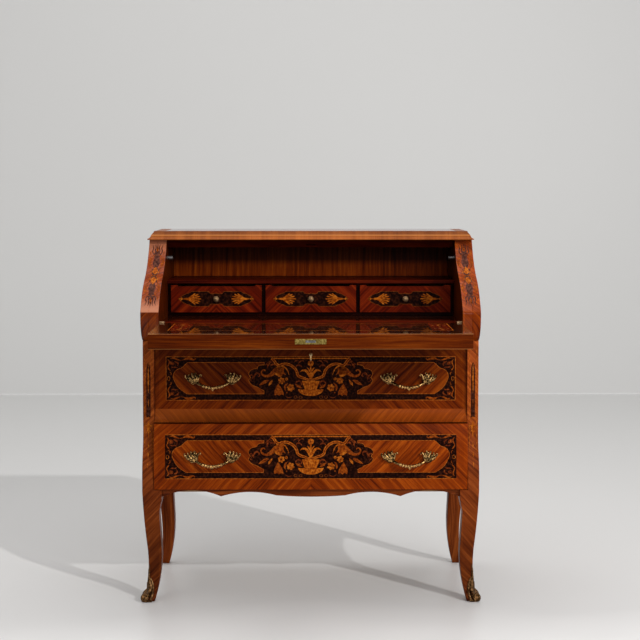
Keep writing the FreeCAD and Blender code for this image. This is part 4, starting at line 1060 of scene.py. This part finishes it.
LEAF_VEINS = [
    [(89.2, -20, 0.4), (91.2, -31, 1.4), (94, -39, 0.4)],
    [(82, -20, 0.4), (79.2, -31, 1.4), (75.6, -38, 0.4)],
    [(132, -15.5, 0.3), (121, -9.6, 1.2), (112, -6, 0.3)],
    [(61.5, -14, 0.3), (66.5, -22, 1), (66.2, -31, 0.3)],
]
RED_SCROLLS = [
    [
        (152.3, -9.2, 0.8), (158.3, -5, 2.2), (160.9, 1.8, 2.2), (158.1, 8.6, 2.9), (153.1, 7.6, 2.9),
        (153.4, 0.8, 2.2), (155.7, -2.4, 0.8),
    ],
    [
        (149.4, -3.4, 0.8), (148.9, 6.5, 3.7), (143.1, 13.3, 5), (136.9, 12.3, 3.7), (135.3, 6.5, 2.5),
        (139.5, 3.9, 0.8),
    ],
    [
        (40.6, -17, 0.8), (37.9, -10.2, 3.1), (31.1, -7.1, 4.1), (24.9, -10.2, 3.5), (24.3, -16, 2.9),
        (29, -18.6, 2.2), (31.7, -14.9, 0.8),
    ],
    [(114.4, 26.4, 0.5), (112.3, 35.9, 5.6), (107.6, 44.2, 5), (103.4, 49.5, 0.5)],
    [(120.6, 34.3, 0.5), (114.4, 40, 4.1), (106, 43.2, 4.1), (100.8, 43.2, 0.5)],
    [(107, 31.1, 0.5), (102.3, 36.9, 5), (96.6, 36.4, 3.7), (93.4, 32.2, 0.5)],
    [(40.6, 30.1, 0.5), (33.8, 35.3, 4.7), (26.4, 33.8, 3.7), (22.8, 29.6, 0.5)],
    [(33.2, 37.9, 0.8), (29, 44.2, 3.5), (21.7, 46.8, 2.5), (17.5, 44.8, 0.5)],
    [(45.3, 41.6, 0.5), (40.6, 45.8, 2.9), (34.3, 47.4, 2.2), (30.6, 45.8, 0.5)],
    [(48, -46.5, 0.4), (53, -50, 1.6), (60, -51, 1.6), (67, -46.5, 0.5)],
]
SMALL_RINGS = [ring(27, -49.6, 4, 3.2), ring(40, -49.4, 4, 3.4)]
URN = [
    [(22.8, -7.9, 2.9), (0, -7.9, 2.9)],
    [
        (27.7, 17.5, 0.5), (22.2, 21.2, 3.9), (14.4, 21.2, 5.8), (8.1, 15.4, 6.8), (2.9, 5.5, 5.8),
        (0.5, -1.3, 2.1),
    ],
    [(9.7, 29, 0.5), (6, 24.9, 3.7), (2.4, 19.1, 3.7), (0.3, 13.3, 1)],
]
STEM = [(0, 33.8, 4.2), (0, 22.8, 3.1), (0, 7.1, 6.3), (0, -2.4, 7.9)]
URN_LINES = [
    [(13, -10.5, 0.7), (11, -24, 1), (9, -29, 0.5)],
    [(5.8, -10.2, 0.7), (5.2, -24, 0.9), (4.4, -29, 0.5)],
    [(0, -10.2, 0.7), (0, -29, 0.7)],
    [(15.5, -29.6, 0.9), (0, -30.8, 1.2)],
    [(27, -31, 0.5), (23.5, -38.5, 0.9)],
    [(20, -31.5, 0.5), (17, -41.5, 1)],
    [(13, -32, 0.5), (10.5, -43.5, 1)],
    [(6.5, -32, 0.5), (5, -44.8, 0.9)],
    [(0, 43, 3.4), (0, 37.5, 3.4)],
]
CORNER_LIGHT = [
    [
        (369.5, 52.3, 0.5), (361.6, 54.4, 3.9), (353.3, 51.2, 4.5), (343.3, 48.6, 0.9), (334.9, 49.6, 0.9),
        (326, 53.1, 5.8), (314, 51.8, 5.8), (307.2, 49.6, 2.5), (304.1, 51.8, 2.1), (305.6, 54.9, 0.8),
    ],
    [
        (376.8, 50.7, 0.5), (372.6, 46, 2.8), (373.7, 37.6, 2.4), (376.3, 30.8, 2.1), (372.6, 24, 3),
        (369, 19.8, 0.5),
    ],
    [(372.1, 17.7, 0.8), (367.9, 14.1, 2.1), (368.4, 8.8, 0.8)],
]
CORNER_RED = [
    [(371.1, 43.9, 3), (367.9, 41.3, 9.1), (363.7, 39.2, 10.2), (360.1, 36.6, 3)],
    [(359, 45, 0.5), (352.2, 42.3, 4.5), (349.1, 37.6, 3), (351.2, 32.9, 0.5)],
    [(367.9, 31.4, 0.5), (362.2, 29.3, 3.3), (355.4, 29.8, 2.8), (350.6, 27.7, 0.5)],
]
CORNER_EYE = [(367, 42, 0.5), (365.6, 40.6, 2.4), (363.8, 39.4, 0.5)]
SIDE_RING = ring(374.5, 0, 3.5, 5)
CROSSBAR = [(103.4, 53, 3), (0, 53, 3)]
STRAP_CORE = 0.34
UP_AND_DOWN = (1, -1)

# A flower: how many petals, the turn of the first, how far out and how wide each is along its length,
# and the size of the eye, as shares of its reach

PETALS, PETAL_TURN, EYE_SHARE = 6, 0.3, 0.34
PETAL = ((0.2, 0.15), (0.62, 0.80), (1, 0.34))


def draw_flower(sheet, out, up, reach):
    """A round flower of even petals about a dark eye."""
    for petal in range(PETALS):
        angle = math.tau * petal / PETALS + PETAL_TURN
        way = Vector((math.cos(angle), math.sin(angle)))
        places = [(share * reach, wide * reach) for share, wide in PETAL]
        petal_stroke = [(out + way.x * far, up + way.y * far, wide) for far, wide in places]
        sheet.strokes(2, "light", petal_stroke)
    eye = reach * EYE_SHARE
    sheet.strokes(3, "red", [(out - eye / 2, up, eye), (out + eye / 2, up, eye)])


def draw_panel(sheet):
    """Handle fields, strapwork, an urn between two horns of flowers, and foliage in the corners."""
    wide, high = PANEL
    rim = half_frame(wide, high, -high)
    sheet.shape(0, "ground", rim)
    sheet.edging(1, "string", 1.5, rim)
    sheet.shape(1, "field", FIELD)
    sheet.edging(2, "string", 1.2, FIELD)
    sheet.strokes(2, "gold", STRAP, CROSSBAR)
    sheet.strokes(3, "red", [(out, up, wide * STRAP_CORE) for out, up, wide in STRAP])
    sheet.strokes(1, "warm", *HORN, *LEAVES)
    sheet.shape(1, "warm", HORN_MOUTH, BELL)
    for small_ring in SMALL_RINGS:
        sheet.edging(1, "dull", 0.9, small_ring)
    for out, up, reach in FLOWERS:
        draw_flower(sheet, out, up, reach)
    sheet.shape(2, "gold", BOWL)
    sheet.shape(3, "gold", BUD)
    sheet.strokes(2, "light", *TRUMPETS, *HORN_LIPS)
    sheet.strokes(3, "gold", *URN)
    sheet.strokes(4, "gold", STEM)
    sheet.strokes(5, "red", *HORN_FOLDS, *LEAF_VEINS, *URN_LINES)
    sheet.strokes(1, "red", *RED_SCROLLS)
    sheet.strokes(1, "warm", *CORNER_LIGHT, flips=UP_AND_DOWN)
    sheet.strokes(1, "red", *CORNER_RED, flips=UP_AND_DOWN)
    sheet.strokes(2, "light", CORNER_EYE, flips=UP_AND_DOWN)
    sheet.edging(1, "light", 1.0, SIDE_RING)


# The small drawers' cartouche, whose lower half mirrors the upper one, and its two palmettes,
# in millimetres from the knob

CARTOUCHE_TOP = [
    (0, 15, "c"), (16.6, 15), (20.7, 20), (24, 20.5, "c"), (66, 20.5, "c"), (70, 19), (72.5, 17, "c"),
    (86, 12.5), (96, 6.5),
]
CARTOUCHE = [
    *CARTOUCHE_TOP, (103, 0, "c"), *((out, -up, *rest) for out, up, *rest in reversed(CARTOUCHE_TOP)),
]
PALMETTE = [
    [(78, 2, 1), (68, 7.8, 2.8), (61, 12.4, 3.6), (58, 14.4, 2.2)],
    [(76, 1.6, 1), (63, 6.8, 2.6), (53, 11, 3.5), (49.5, 12.4, 2.2)],
    [(74, 1, 1), (60, 3.8, 2.4), (49, 6.2, 3.4), (44.5, 7.1, 2.2)],
    [(92, 0.4, 0.6), (95.5, 2.2, 1.8), (97.5, 5.2, 0.5)],
]
PALMETTE_HEART = [
    (93, 0, 0.8), (85, 0, 4.6), (77, 0, 6.4), (70, 0, 4.4), (62, 0, 2.2), (52, 0, 2.8),
    (45, 0, 3.4), (41, 0, 2),
]
PALMETTE_MIDDLE = [(103.5, 0, 0.5), (98, 0, 2.4), (92, 0, 1.4), (84, 0, 1.2)]


def draw_cartouche(sheet):
    sheet.shape(0, "ground", CARTOUCHE)
    sheet.edging(1, "dull", 0.9, CARTOUCHE)
    sheet.strokes(2, "gold", *PALMETTE, flips=UP_AND_DOWN)
    sheet.strokes(3, "gold", PALMETTE_HEART, PALMETTE_MIDDLE)


# The slanted stiles' arabesque, in millimetres from its collar

ARABESQUE_DARK = [
    [
        (0, 1, 9), (0, 9, 20), (0, 14, 17), (0, 19, 9), (0, 24, 15),
        (0, 31, 20), (0, 38, 17), (0, 45, 13), (0, 52, 20), (0, 58, 15),
        (0, 64, 3),
    ],
    [(4, 12, 2), (9.5, 15, 3.2), (12.5, 21, 2.6), (12, 28, 0.6)],
    [(2.5, 56, 2), (6, 63, 3.8), (4.5, 71, 3.2), (6.5, 80, 0.8)],
    [(8, 52, 2), (13, 61, 3.8), (11, 69, 3), (14, 79, 0.8)],
    [(0, 66, 1), (0, 72, 3.4), (0, 81, 0.8)],
]
ARABESQUE_STRAP = [
    (4, 53, 1.6), (11.5, 48, 1.8), (14.5, 38, 1.8), (13.8, 26, 1.8), (11, 16, 1.8), (12, 7, 1.8),
    (7, 2.5, 1.6),
]
ARABESQUE_LOBES = [
    [(15.5, 46, 0.8), (18.5, 38, 4.6), (18, 28, 5.4), (14.5, 19, 0.8)],
    [(17, 64, 0.6), (18, 57, 3.2), (16.5, 51, 0.6)],
    [(0, 58, 1.6), (0, 66, 5.6), (0, 76, 1)],
]
ARABESQUE_DROP = [(0, 4, 5), (0, 9, 15), (0, 15, 13), (0, 22, 1.4)]
ARABESQUE_DOTS = [(9.4, 7.2, 3), (9.4, 10.2, 3)]
ARABESQUE_COLLAR = [(8.5, 0, 2), (-8.5, 0, 2)]
ARABESQUE_FLIPS = (1, -0.9)

# The posts' flute and husk, in millimetres from the floor, and how far from the desk's middle they stand

POST_X = 427.0
FLUTE = [
    (0, 627, "c"), (1.8, 625), (4.2, 616), (5.2, 596), (5.4, 560), (5.4, 482, "c"), (0, 482, "c"),
]
SPINDLE = [(0, 626, 0.8), (0, 606, 2.2), (0, 584, 4.4), (0, 566, 3), (0, 546, 0.6)]
SPINDLE_DROP = [(0, 530, 0.4), (0, 522, 1.8), (0, 510, 0.4)]
HUSK = [
    [(0, 484.5, 0.5), (0, 481, 3.4), (0, 478, 0.5)],
    [(0, 472, 1), (0, 458, 8), (0, 444, 5), (0, 428, 1)],
]
HUSK_ARMS = [
    [(2, 455, 2), (6.5, 460, 2.4), (8, 455, 0.5)],
    [(1.5, 449, 1.6), (5, 444, 2), (6, 440, 0.5)],
]
HUSK_DROPS = [
    [(0, 418, 0.6), (0, 411, 4), (0, 400, 1)],
    [(0, 392, 0.5), (0, 387, 3), (0, 378, 0.6)],
    [(0, 368, 0.4), (0, 362, 2.4), (0, 352, 0.5)],
]
POST_STRING = [(9.6, 672, 1.2), (9.6, 330, 1.2)]


def draw_post(sheet):
    """A dark flute about a light spindle, over a husk and its drops."""
    sheet.shape(1, "flute", FLUTE)
    sheet.strokes(2, "light", SPINDLE, SPINDLE_DROP)
    sheet.strokes(2, "gold", *HUSK)
    sheet.strokes(1, "light", *HUSK_ARMS, *HUSK_DROPS, POST_STRING)


# The frame on the case's side, about its middle, and the bands on both faces of the flap

SIDE_MIDDLE = 155.0
SIDE_RIM = half_frame(133, 700, 315)


def draw_side(sheet):
    """A quiet frame of stringing on the case's side."""
    sheet.edging(1, "ground", 4.0, SIDE_RIM)
    sheet.edging(2, "string", 1.4, SIDE_RIM)


FLAP_RIM = half_frame(381, 104, -104)
BED_OUTER = half_frame(352, -275, -92)
BED_INNER = half_frame(300, -262, -105)
BED_BAND = [(300, -275, "c"), (352, -275, "c"), (352, -92, "c"), (300, -92, "c")]
BED_RIM = half_frame(386, -349, -76)
BED_LEAVES = [
    [(322, -262, 1), (330, -244, 9), (324, -224, 6), (330, -204, 1)],
    [(334, -246, 1), (342, -236, 4), (343, -222, 1)],
    [(318, -240, 1), (311, -230, 4), (310, -216, 1)],
    [(326, -196, 1), (326, -184, 6), (326, -172, 1)],
]
BED_MIDDLE = -184


def draw_writing_bed(sheet):
    """Side bands with leaves, between strings, on the flap's writing side."""
    sheet.shape(0, "band", BED_BAND)
    sheet.edging(1, "gold", 2.0, BED_OUTER)
    sheet.edging(1, "ground", 3.0, BED_INNER)
    sheet.edging(1, "dull", 1.4, BED_RIM)
    facing = [[(out, 2 * BED_MIDDLE - up, wide) for out, up, wide in leaf] for leaf in BED_LEAVES[:-1]]
    sheet.strokes(2, "dull", *BED_LEAVES, *facing)


def draw_arabesque(sheet):
    """Dark foliage, a strap, lobes and a drop above the collar, and the same a little shorter below it."""
    sheet.strokes(1, "plum", *ARABESQUE_DARK, flips=ARABESQUE_FLIPS)
    sheet.strokes(2, "warm", ARABESQUE_STRAP, flips=ARABESQUE_FLIPS)
    sheet.strokes(1, "warm", *ARABESQUE_LOBES, flips=ARABESQUE_FLIPS)
    sheet.strokes(3, "light", ARABESQUE_DROP, flips=ARABESQUE_FLIPS)
    sheet.strokes(4, "string", ARABESQUE_DOTS, flips=ARABESQUE_FLIPS)
    sheet.strokes(2, "gold", ARABESQUE_COLLAR)


# The metals' patina: cells to the metre, where its dark and light colour stand, and how deep it bites

PATINA_CELLS, PATINA_STOPS, PATINA_DEPTH = 240.0, (0.43, 0.62), 0.3 * MM


def bronze(name, dark, light, rough, painted_highlight=None):
    """Tarnish in the hollows of a cast. A rule may add a painted highlight, which lightens its colour there.
    """
    finish = Finish(name)
    x, y, z = finish.place()
    patina = finish.noise(x * PATINA_CELLS, y * PATINA_CELLS, z * PATINA_CELLS, 4.0, 0.6)
    # A painted highlight, where a rule gives one, lifts the patina's colour
    bright = patina + painted_highlight(x, y, z) if painted_highlight else patina
    colour = finish.ramp(bright, list(zip(PATINA_STOPS, (tuple(dark), tuple(light)))))
    return finish.surface(
        Base__Color=colour,
        Metallic=1.0,
        Roughness=patina * 0.25 + rough,
        Normal=finish.bump(patina, PATINA_DEPTH, 0.6),
    )


# Where the drawings are pressed, in metres, and from where to where a curved one is cut into rows

PANEL_HEIGHTS = {"upper": 0.5834, "lower": 0.3825}
CARTOUCHE_HEIGHT = 0.78075
ARABESQUE_PLACE = (0.4172, 0.851)
FLAP_PANEL = -0.205
PANEL_ROWS = (-60, 60)


def shaded_field(x, y, z):
    return 0.60 - (z - PANEL_HEIGHTS["upper"]) * 2.3


def lit_field(x, y, z):
    return x * 0.42 + 0.97


class DESK_OT_marquetry(bpy.types.Operator):
    """Cut the marquetry and press it onto the fronts, the stiles and the posts"""

    bl_idname = "desk.marquetry"
    bl_label = "Marquetry"

    def execute(self, context):
        sizes = context.scene.desk_sizes
        woods = cut_woods(context.scene.desk_inlays)
        amber = shades(context.scene.desk_woods, "amber")
        red = shades(context.scene.desk_woods, "red")
        inlays = context.scene.desk_inlays
        woods["flute"] = inlay(
            "flute_inlay", tuple(inlays.ground_middle), tuple(inlays.ground_light), tuple(inlays.plum_middle)
        )
        woods["band"] = veneer("bed_banding", laid_deep, seed=31.0, coat=1.0, polish=0.03, **red)

        # Painted shade on the upper field, under the flap, and painted light on the lower one, lighter to
        # the right
        field_light = {"upper": shaded_field, "lower": lit_field}
        for level, z in PANEL_HEIGHTS.items():
            woods["field"] = veneer(
                f"{level}_field", laid_falling, seed=20.0 + z, streak=0.8, painted_light=field_light[level], **amber
            )
            sheet = Marquetry(f"{level}_drawer_marquetry", woods, sizes)
            draw_panel(sheet)
            rows = PANEL_ROWS if level == "lower" else None
            sheet.pressed([f"{level}_drawer_front"], "front", (0, 0, z), rows)
        for word in ("left", "middle", "right"):
            front = f"{word}_small_drawer_front"
            low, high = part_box(front)
            sheet = Marquetry(f"{word}_small_drawer_marquetry", woods, sizes)
            draw_cartouche(sheet)
            sheet.pressed([front], "front", ((low.x + high.x) / 2, 0, CARTOUCHE_HEIGHT))
        out, up = ARABESQUE_PLACE
        for word, side in (("right", 1), ("left", -1)):
            sheet = Marquetry(f"{word}_stile_marquetry", woods, sizes)
            draw_arabesque(sheet)
            stile = [f"{word}_side", f"{word}_cheek"]
            sheet.pressed(stile, "front", (side * out, 0, up))
            sheet = Marquetry(f"{word}_post_marquetry", woods, sizes)
            draw_post(sheet)
            sheet.pressed([f"{word}_front_leg"], "front", (side * POST_X * MM, 0, 0))
            sheet = Marquetry(f"{word}_side_stringing", woods, sizes)
            draw_side(sheet)
            sheet.pressed([f"{word}_side"], word, (0, SIDE_MIDDLE * MM, 0))
        sheet = Marquetry("flap_writing_inlay", woods, sizes)
        draw_writing_bed(sheet)
        sheet.pressed(["flap"], "top", (0, 0, 0))
        sheet = Marquetry("flap_outer_marquetry", woods, sizes)
        draw_panel(sheet)
        sheet.edging(1, "string", 1.6, FLAP_RIM)
        sheet.pressed(["flap"], "under", (0, FLAP_PANEL, 0), PANEL_ROWS)
        return {"FINISHED"}


# How much a fused cast is smoothed

CAST_CALM = 0.3


def casting(name, ribs, finish, cell=None, sides=3):
    """Round ribs of changing thickness, in metres. With a cell size they are fused like cast metal."""
    curve = bpy.data.curves.new(name, "CURVE")
    curve.dimensions = "3D"
    curve.resolution_u = 5
    curve.bevel_depth = 1.0
    curve.bevel_resolution = sides
    curve.use_fill_caps = True
    curve.materials.append(finish)
    for rib in ribs:
        spline = curve.splines.new("BEZIER")
        spline.bezier_points.add(len(rib) - 1)
        for knot, (*place, radius) in zip(spline.bezier_points, rib):
            knot.co = place
            knot.radius = radius
            knot.handle_left_type = knot.handle_right_type = "AUTO"
    piece = added(name, curve)
    pick(piece)
    bpy.ops.object.convert(target="MESH")
    if cell:
        fuse = piece.modifiers.new("fuse", "REMESH")
        fuse.mode = "VOXEL"
        fuse.voxel_size = cell
        calm = piece.modifiers.new("calm", "SMOOTH")
        calm.iterations = 1
        calm.factor = CAST_CALM
        apply_all(piece)
    else:
        bpy.ops.object.mode_set(mode="EDIT")
        bpy.ops.mesh.select_all(action="SELECT")
        bpy.ops.mesh.remove_doubles(threshold=MERGE)
        bpy.ops.mesh.normals_make_consistent(inside=False)
        bpy.ops.object.mode_set(mode="OBJECT")
    bpy.ops.object.shade_smooth()
    return piece


# The pull's ribs, in millimetres: out from the middle, up, towards the user, and radius

PULL_RIBS = [
    [
        (42, -11, 6, 3.8), (52, -8, 9, 3.6), (63, -3, 9, 3), (70, 3, 8, 2.4), (73, 8, 9, 1.8),
        (70.5, 11, 10, 1.2),
    ],
    [(44, -11, 6, 3.2), (53, -4, 10, 3.2), (60, 4, 9.5, 2.8), (64, 10, 8.5, 2), (62, 13, 10, 1.4)],
    [(43, -10, 6, 3), (49, -1, 10, 3.2), (54, 8, 9.5, 2.8), (56, 14, 8.5, 2), (53.5, 16, 10, 1.4)],
    [(42, -10, 6, 3), (44, 1, 10, 3), (46, 10, 9, 2.6), (46.5, 15, 8.5, 1.9), (43.5, 16.5, 10, 1.3)],
    [
        (41, -10, 6, 3), (39, -1, 9, 2.8), (36.5, 8, 8, 2.3), (33, 12, 8, 1.7), (30, 9.5, 9, 1.2),
        (32, 7, 10, 0.9),
    ],
    [(46, -12, 5, 3), (54, -12, 7, 2.4), (60, -8.5, 7, 1.2)],
    [(50, -11, 6, 2.8), (58, -8, 8, 2.4), (68, -4, 7.5, 1.2)],
    [(43, -10, 3, 4.6), (54, -3, 3, 6), (62, 2, 3, 5), (67, 5, 3, 3)],
    [(41, -8, 3, 4.4), (42, 3, 3, 5.4), (46, 9, 3, 5), (52, 11, 3, 3.6)],
    [(50, 2, 3, 5), (57, 8, 3, 4)],
    [(47, -8, 9, 1.3), (57, -2, 12, 1.1), (65, 3, 11.5, 0.9), (69, 8, 10, 0.6)],
    [(45, -6, 9, 1.3), (49, 3, 12.5, 1.1), (53, 11, 11, 0.8)],
    [(42, -4, 9, 1.3), (42, 6, 12, 1.1), (40, 12, 10, 0.8)],
]
PULL_DROP = [(0, -23, 24, 3.2), (0, -27, 24, 2.6), (0, -30, 22, 0.8)]
GRIP_HALF, GRIP_SAG, GRIP_OUT, GRIP_END = 46.0, (-21.0, 13.0), (24.0, -18.5), 0.52
GRIP_NECK = [(1, 3.4), (0.8, 4), (0.66, 3.4), (0.60, 3), (0.56, 4.6), (GRIP_END, 3)]
BEADS = [(step / 7 * GRIP_END, 5.6 if step % 2 else 2.8) for step in range(-7, 8)]


def grip_place(share):
    """A point of the sagging grip, from -1 at its left end to 1 at its right."""
    return (
        GRIP_HALF * share,
        GRIP_SAG[0] + GRIP_SAG[1] * share**2,
        GRIP_OUT[0] + GRIP_OUT[1] * share**2,
    )


def pull_ribs():
    ribs = []
    for side in (1, -1):
        ribs += [[(out * side, *rest) for out, *rest in rib] for rib in PULL_RIBS]
        ribs.append([(*grip_place(side * share), radius) for share, radius in GRIP_NECK])
    beads = [(*grip_place(share), radius) for share, radius in BEADS]
    return [*ribs, beads, PULL_DROP]


# How deep a pull is let in, how far its middle lies below its top, and how far and how much its grip is
# painted lighter as a painted highlight

PULL_SEAT, PULL_TOP = 1.0 * MM, 18.0 * MM
HIGHLIGHT_REACH, GRIP_HIGHLIGHT = 25 * MM, 0.09

# A knob, as how far out from the face and how thick there, in millimetres

KNOB = [
    (0, 5.8), (1.2, 5.8), (2.2, 4.4), (3.6, 2.9), (6.2, 2.9), (7.6, 4.4), (9.4, 7.2), (11.6, 8.3),
    (14, 8.1), (16.4, 6.6), (18, 4.2), (18.8, 1.6), (19, 0.05),
]

# The sabot's ribs, seen from the front: out from the desk's middle, up, and radius

SABOT_RIBS = [
    [
        (424.5, 93, 1.1), (425.5, 86, 1.7), (426, 79, 2.4), (426, 70, 2.6), (426, 58, 3.4),
        (424.6, 48, 4.8), (423, 36, 5.8), (424, 25, 6.4), (428, 15, 6.2),
    ],
    [(427, 80, 2), (430.5, 79.4, 1.6)],
    [(423.5, 60, 1.8), (418.5, 51, 2.6), (415.5, 40, 3), (414.5, 30, 3), (415.5, 19, 2.8), (420, 7, 3)],
    [(428.5, 57, 1.8), (431, 50, 2.6), (430.5, 43, 2.4)],
    [(428.5, 45, 2.2), (431.5, 37, 3), (432.5, 29, 3.2), (437, 22, 3.2)],
    [(430, 10, 6.4), (436, 11.5, 7), (441, 11.5, 5.2)],
    [
        (416.5, 3.6, 3), (428, 3, 2.9), (438, 4.6, 3.6), (442.9, 11.5, 2.9), (440, 19, 2.8),
        (433, 20.5, 2.6), (427.5, 15, 2.2), (428.5, 9, 2), (434, 8, 1.8), (436, 12, 1.6),
    ],
]

# Where the leaf ends and the toe begins, in millimetres, and how far off, in metres, a seat is looked for

LEAF_FOOT = 24.0
FAR_OFF = 0.7
SEATS = {"sabot": (361.5, 0.0), "front_leg": (370.0, 4.2)}


def seated_rib(faces, side, rib, from_side):
    """A rib laid on the leg, or on the toe below the leaf's foot, seen from the front or the outer side.

    A seat tells how far a place stands from the corner, and how high the rib rises from the face.
    """
    laid = []
    depth = None
    for out, up, radius in rib:
        seat = "front_leg" if up > LEAF_FOOT else "sabot"
        corner, rise = SEATS[seat]
        if from_side:
            start = Vector((side * FAR_OFF, (corner - out) * MM, up * MM))
            push = Vector((-side, 0, 0))
        else:
            start = Vector((side * out * MM, -FAR_OFF, up * MM))
            push = Vector((0, 1, 0))
        hit, place, _, _ = faces[seat].ray_cast(start, push)
        if hit:
            depth = (place - start).length
        if depth is not None:
            lift = min(radius * 0.25, rise - radius) * MM
            laid.append((*(start + push * (depth - lift)), radius * MM))
    return laid


class DESK_OT_mounts(bpy.types.Operator):
    """Cast the pulls, the sabots and the knobs"""

    bl_idname = "desk.mounts"
    bl_label = "Bronze mounts"

    def execute(self, context):
        metals = context.scene.desk_metals
        sizes = context.scene.desk_sizes
        low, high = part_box("lower_right_handle")
        pull_x = (low.x + high.x) / 2

        # A painted highlight on each pull's middle, where the beads catch the light
        def grip_painted_highlight(x, y, z):
            return (1.0 - abs(abs(x) - pull_x).above(HIGHLIGHT_REACH)) * GRIP_HIGHLIGHT

        metal = bronze("chased_bronze", metals.bronze_dark, metals.bronze_light, 0.24, grip_painted_highlight)
        dull = bronze("sabot_bronze", metals.sabot_dark, metals.sabot_light, 0.30)
        pale = bronze("knob_brass", metals.knob_dark, metals.knob_light, 0.52)
        ribs = pull_ribs()
        for level in ("upper", "lower"):
            for word in ("left", "right"):
                node = f"{level}_{word}_handle"
                low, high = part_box(node)
                middle = (low.x + high.x) / 2
                face = high.y - PULL_SEAT
                height = high.z - PULL_TOP
                placed = [
                    [(middle + out * MM, face - front * MM, height + up * MM, radius * MM)
                     for out, up, front, radius in rib]
                    for rib in ribs
                ]
                pull = casting(f"{node}_chased", placed, metal, sizes.pull_cell)
                bpy.ops.object.mode_set(mode="EDIT")
                bpy.ops.mesh.select_all(action="SELECT")
                bpy.ops.mesh.bisect(
                    plane_co=(0, high.y, 0), plane_no=(0, 1, 0), clear_outer=True, use_fill=True
                )
                bpy.ops.object.mode_set(mode="OBJECT")
                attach(pull, BODY_OF[node])
                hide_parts(node)
        for word in ("left", "middle", "right"):
            node = f"{word}_knob"
            low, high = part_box(node)
            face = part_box(f"{word}_small_drawer_front")[0].y
            x, z = (low.x + high.x) / 2, (low.z + high.z) / 2
            rib = [(x, face - out * MM, z, radius * MM) for out, radius in KNOB]
            knob = casting(f"{node}_turned", [rib], pale, sides=10)
            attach(knob, BODY_OF[node])
            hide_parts(node)
        for word, side in (("left", -1), ("right", 1)):
            node = f"{word}_sabot"
            faces = {seat: joined_copy([f"{word}_{seat}"]) for seat in SEATS}
            context.view_layer.update()
            ribs = [seated_rib(faces, side, rib, view) for rib in SABOT_RIBS for view in (False, True)]
            ribs = [rib for rib in ribs if len(rib) > 1]
            for face in faces.values():
                bpy.data.objects.remove(face)
            relief = casting(f"{node}_leaf", ribs, dull, sizes.sabot_cell)
            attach(relief, BODY_OF[node])
            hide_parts(node)
        return {"FINISHED"}


class DESK_OT_metalwork(bpy.types.Operator):
    """Finish the bronze mounts, the brass lock and the steel bolts"""

    bl_idname = "desk.metalwork"
    bl_label = "Metalwork"

    def execute(self, context):
        metals = context.scene.desk_metals
        finishes = {
            "cast_bronze": bronze("cast_bronze", metals.bronze_dark, metals.bronze_light, 0.24),
            "brass": bronze("worn_brass", metals.brass_dark, metals.brass_light, 0.30),
            "hinge": bronze("tarnished_brass", metals.knob_dark, metals.knob_light, 0.36),
            "steel": bronze("dull_steel", metals.steel_dark, metals.steel_light, 0.36),
            "key": bronze("bright_brass", metals.bronze_light, metals.key_light, 0.34),
        }
        for node, thing in frame["nodes"].items():
            own = [word for word in ("hinge", "key") if word in node]
            finish = finishes.get(own[0] if own else SLOT_OF[node])
            if finish and not thing.hide_render:
                for slot in thing.material_slots:
                    slot.material = finish
        return {"FINISHED"}


class DESK_PT_panel(bpy.types.Panel):
    """The desk's steps, in their order"""

    bl_idname = "DESK_PT_panel"
    bl_label = "Marquetry writing desk"
    bl_space_type = "VIEW_3D"
    bl_region_type = "UI"
    bl_category = "Desk"

    def draw(self, context):
        for step in STEPS:
            self.layout.operator(step.bl_idname)
        for group, kind in GROUPS.items():
            box = self.layout.box()
            box.label(text=kind.__doc__)
            for name in kind.__annotations__:
                box.prop(getattr(context.scene, group), name)


STEPS = (
    DESK_OT_camera,
    DESK_OT_studio,
    DESK_OT_woodwork,
    DESK_OT_marquetry,
    DESK_OT_mounts,
    DESK_OT_metalwork,
)
GROUPS = {
    "desk_woods": DESK_PG_woods,
    "desk_inlays": DESK_PG_inlays,
    "desk_metals": DESK_PG_metals,
    "desk_sizes": DESK_PG_sizes,
}
CLASSES = (*GROUPS.values(), *STEPS, DESK_PT_panel)


def register():
    for kind in CLASSES:
        bpy.utils.register_class(kind)
    for group, kind in GROUPS.items():
        setattr(bpy.types.Scene, group, bpy.props.PointerProperty(type=kind))


def unregister():
    for group in GROUPS:
        delattr(bpy.types.Scene, group)
    for kind in reversed(CLASSES):
        bpy.utils.unregister_class(kind)


def main():
    register()
    bpy.ops.desk.camera()
    bpy.ops.desk.studio()
    bpy.ops.desk.woodwork()
    bpy.ops.desk.marquetry()
    bpy.ops.desk.mounts()
    bpy.ops.desk.metalwork()


if __name__ == "__main__":
    main()
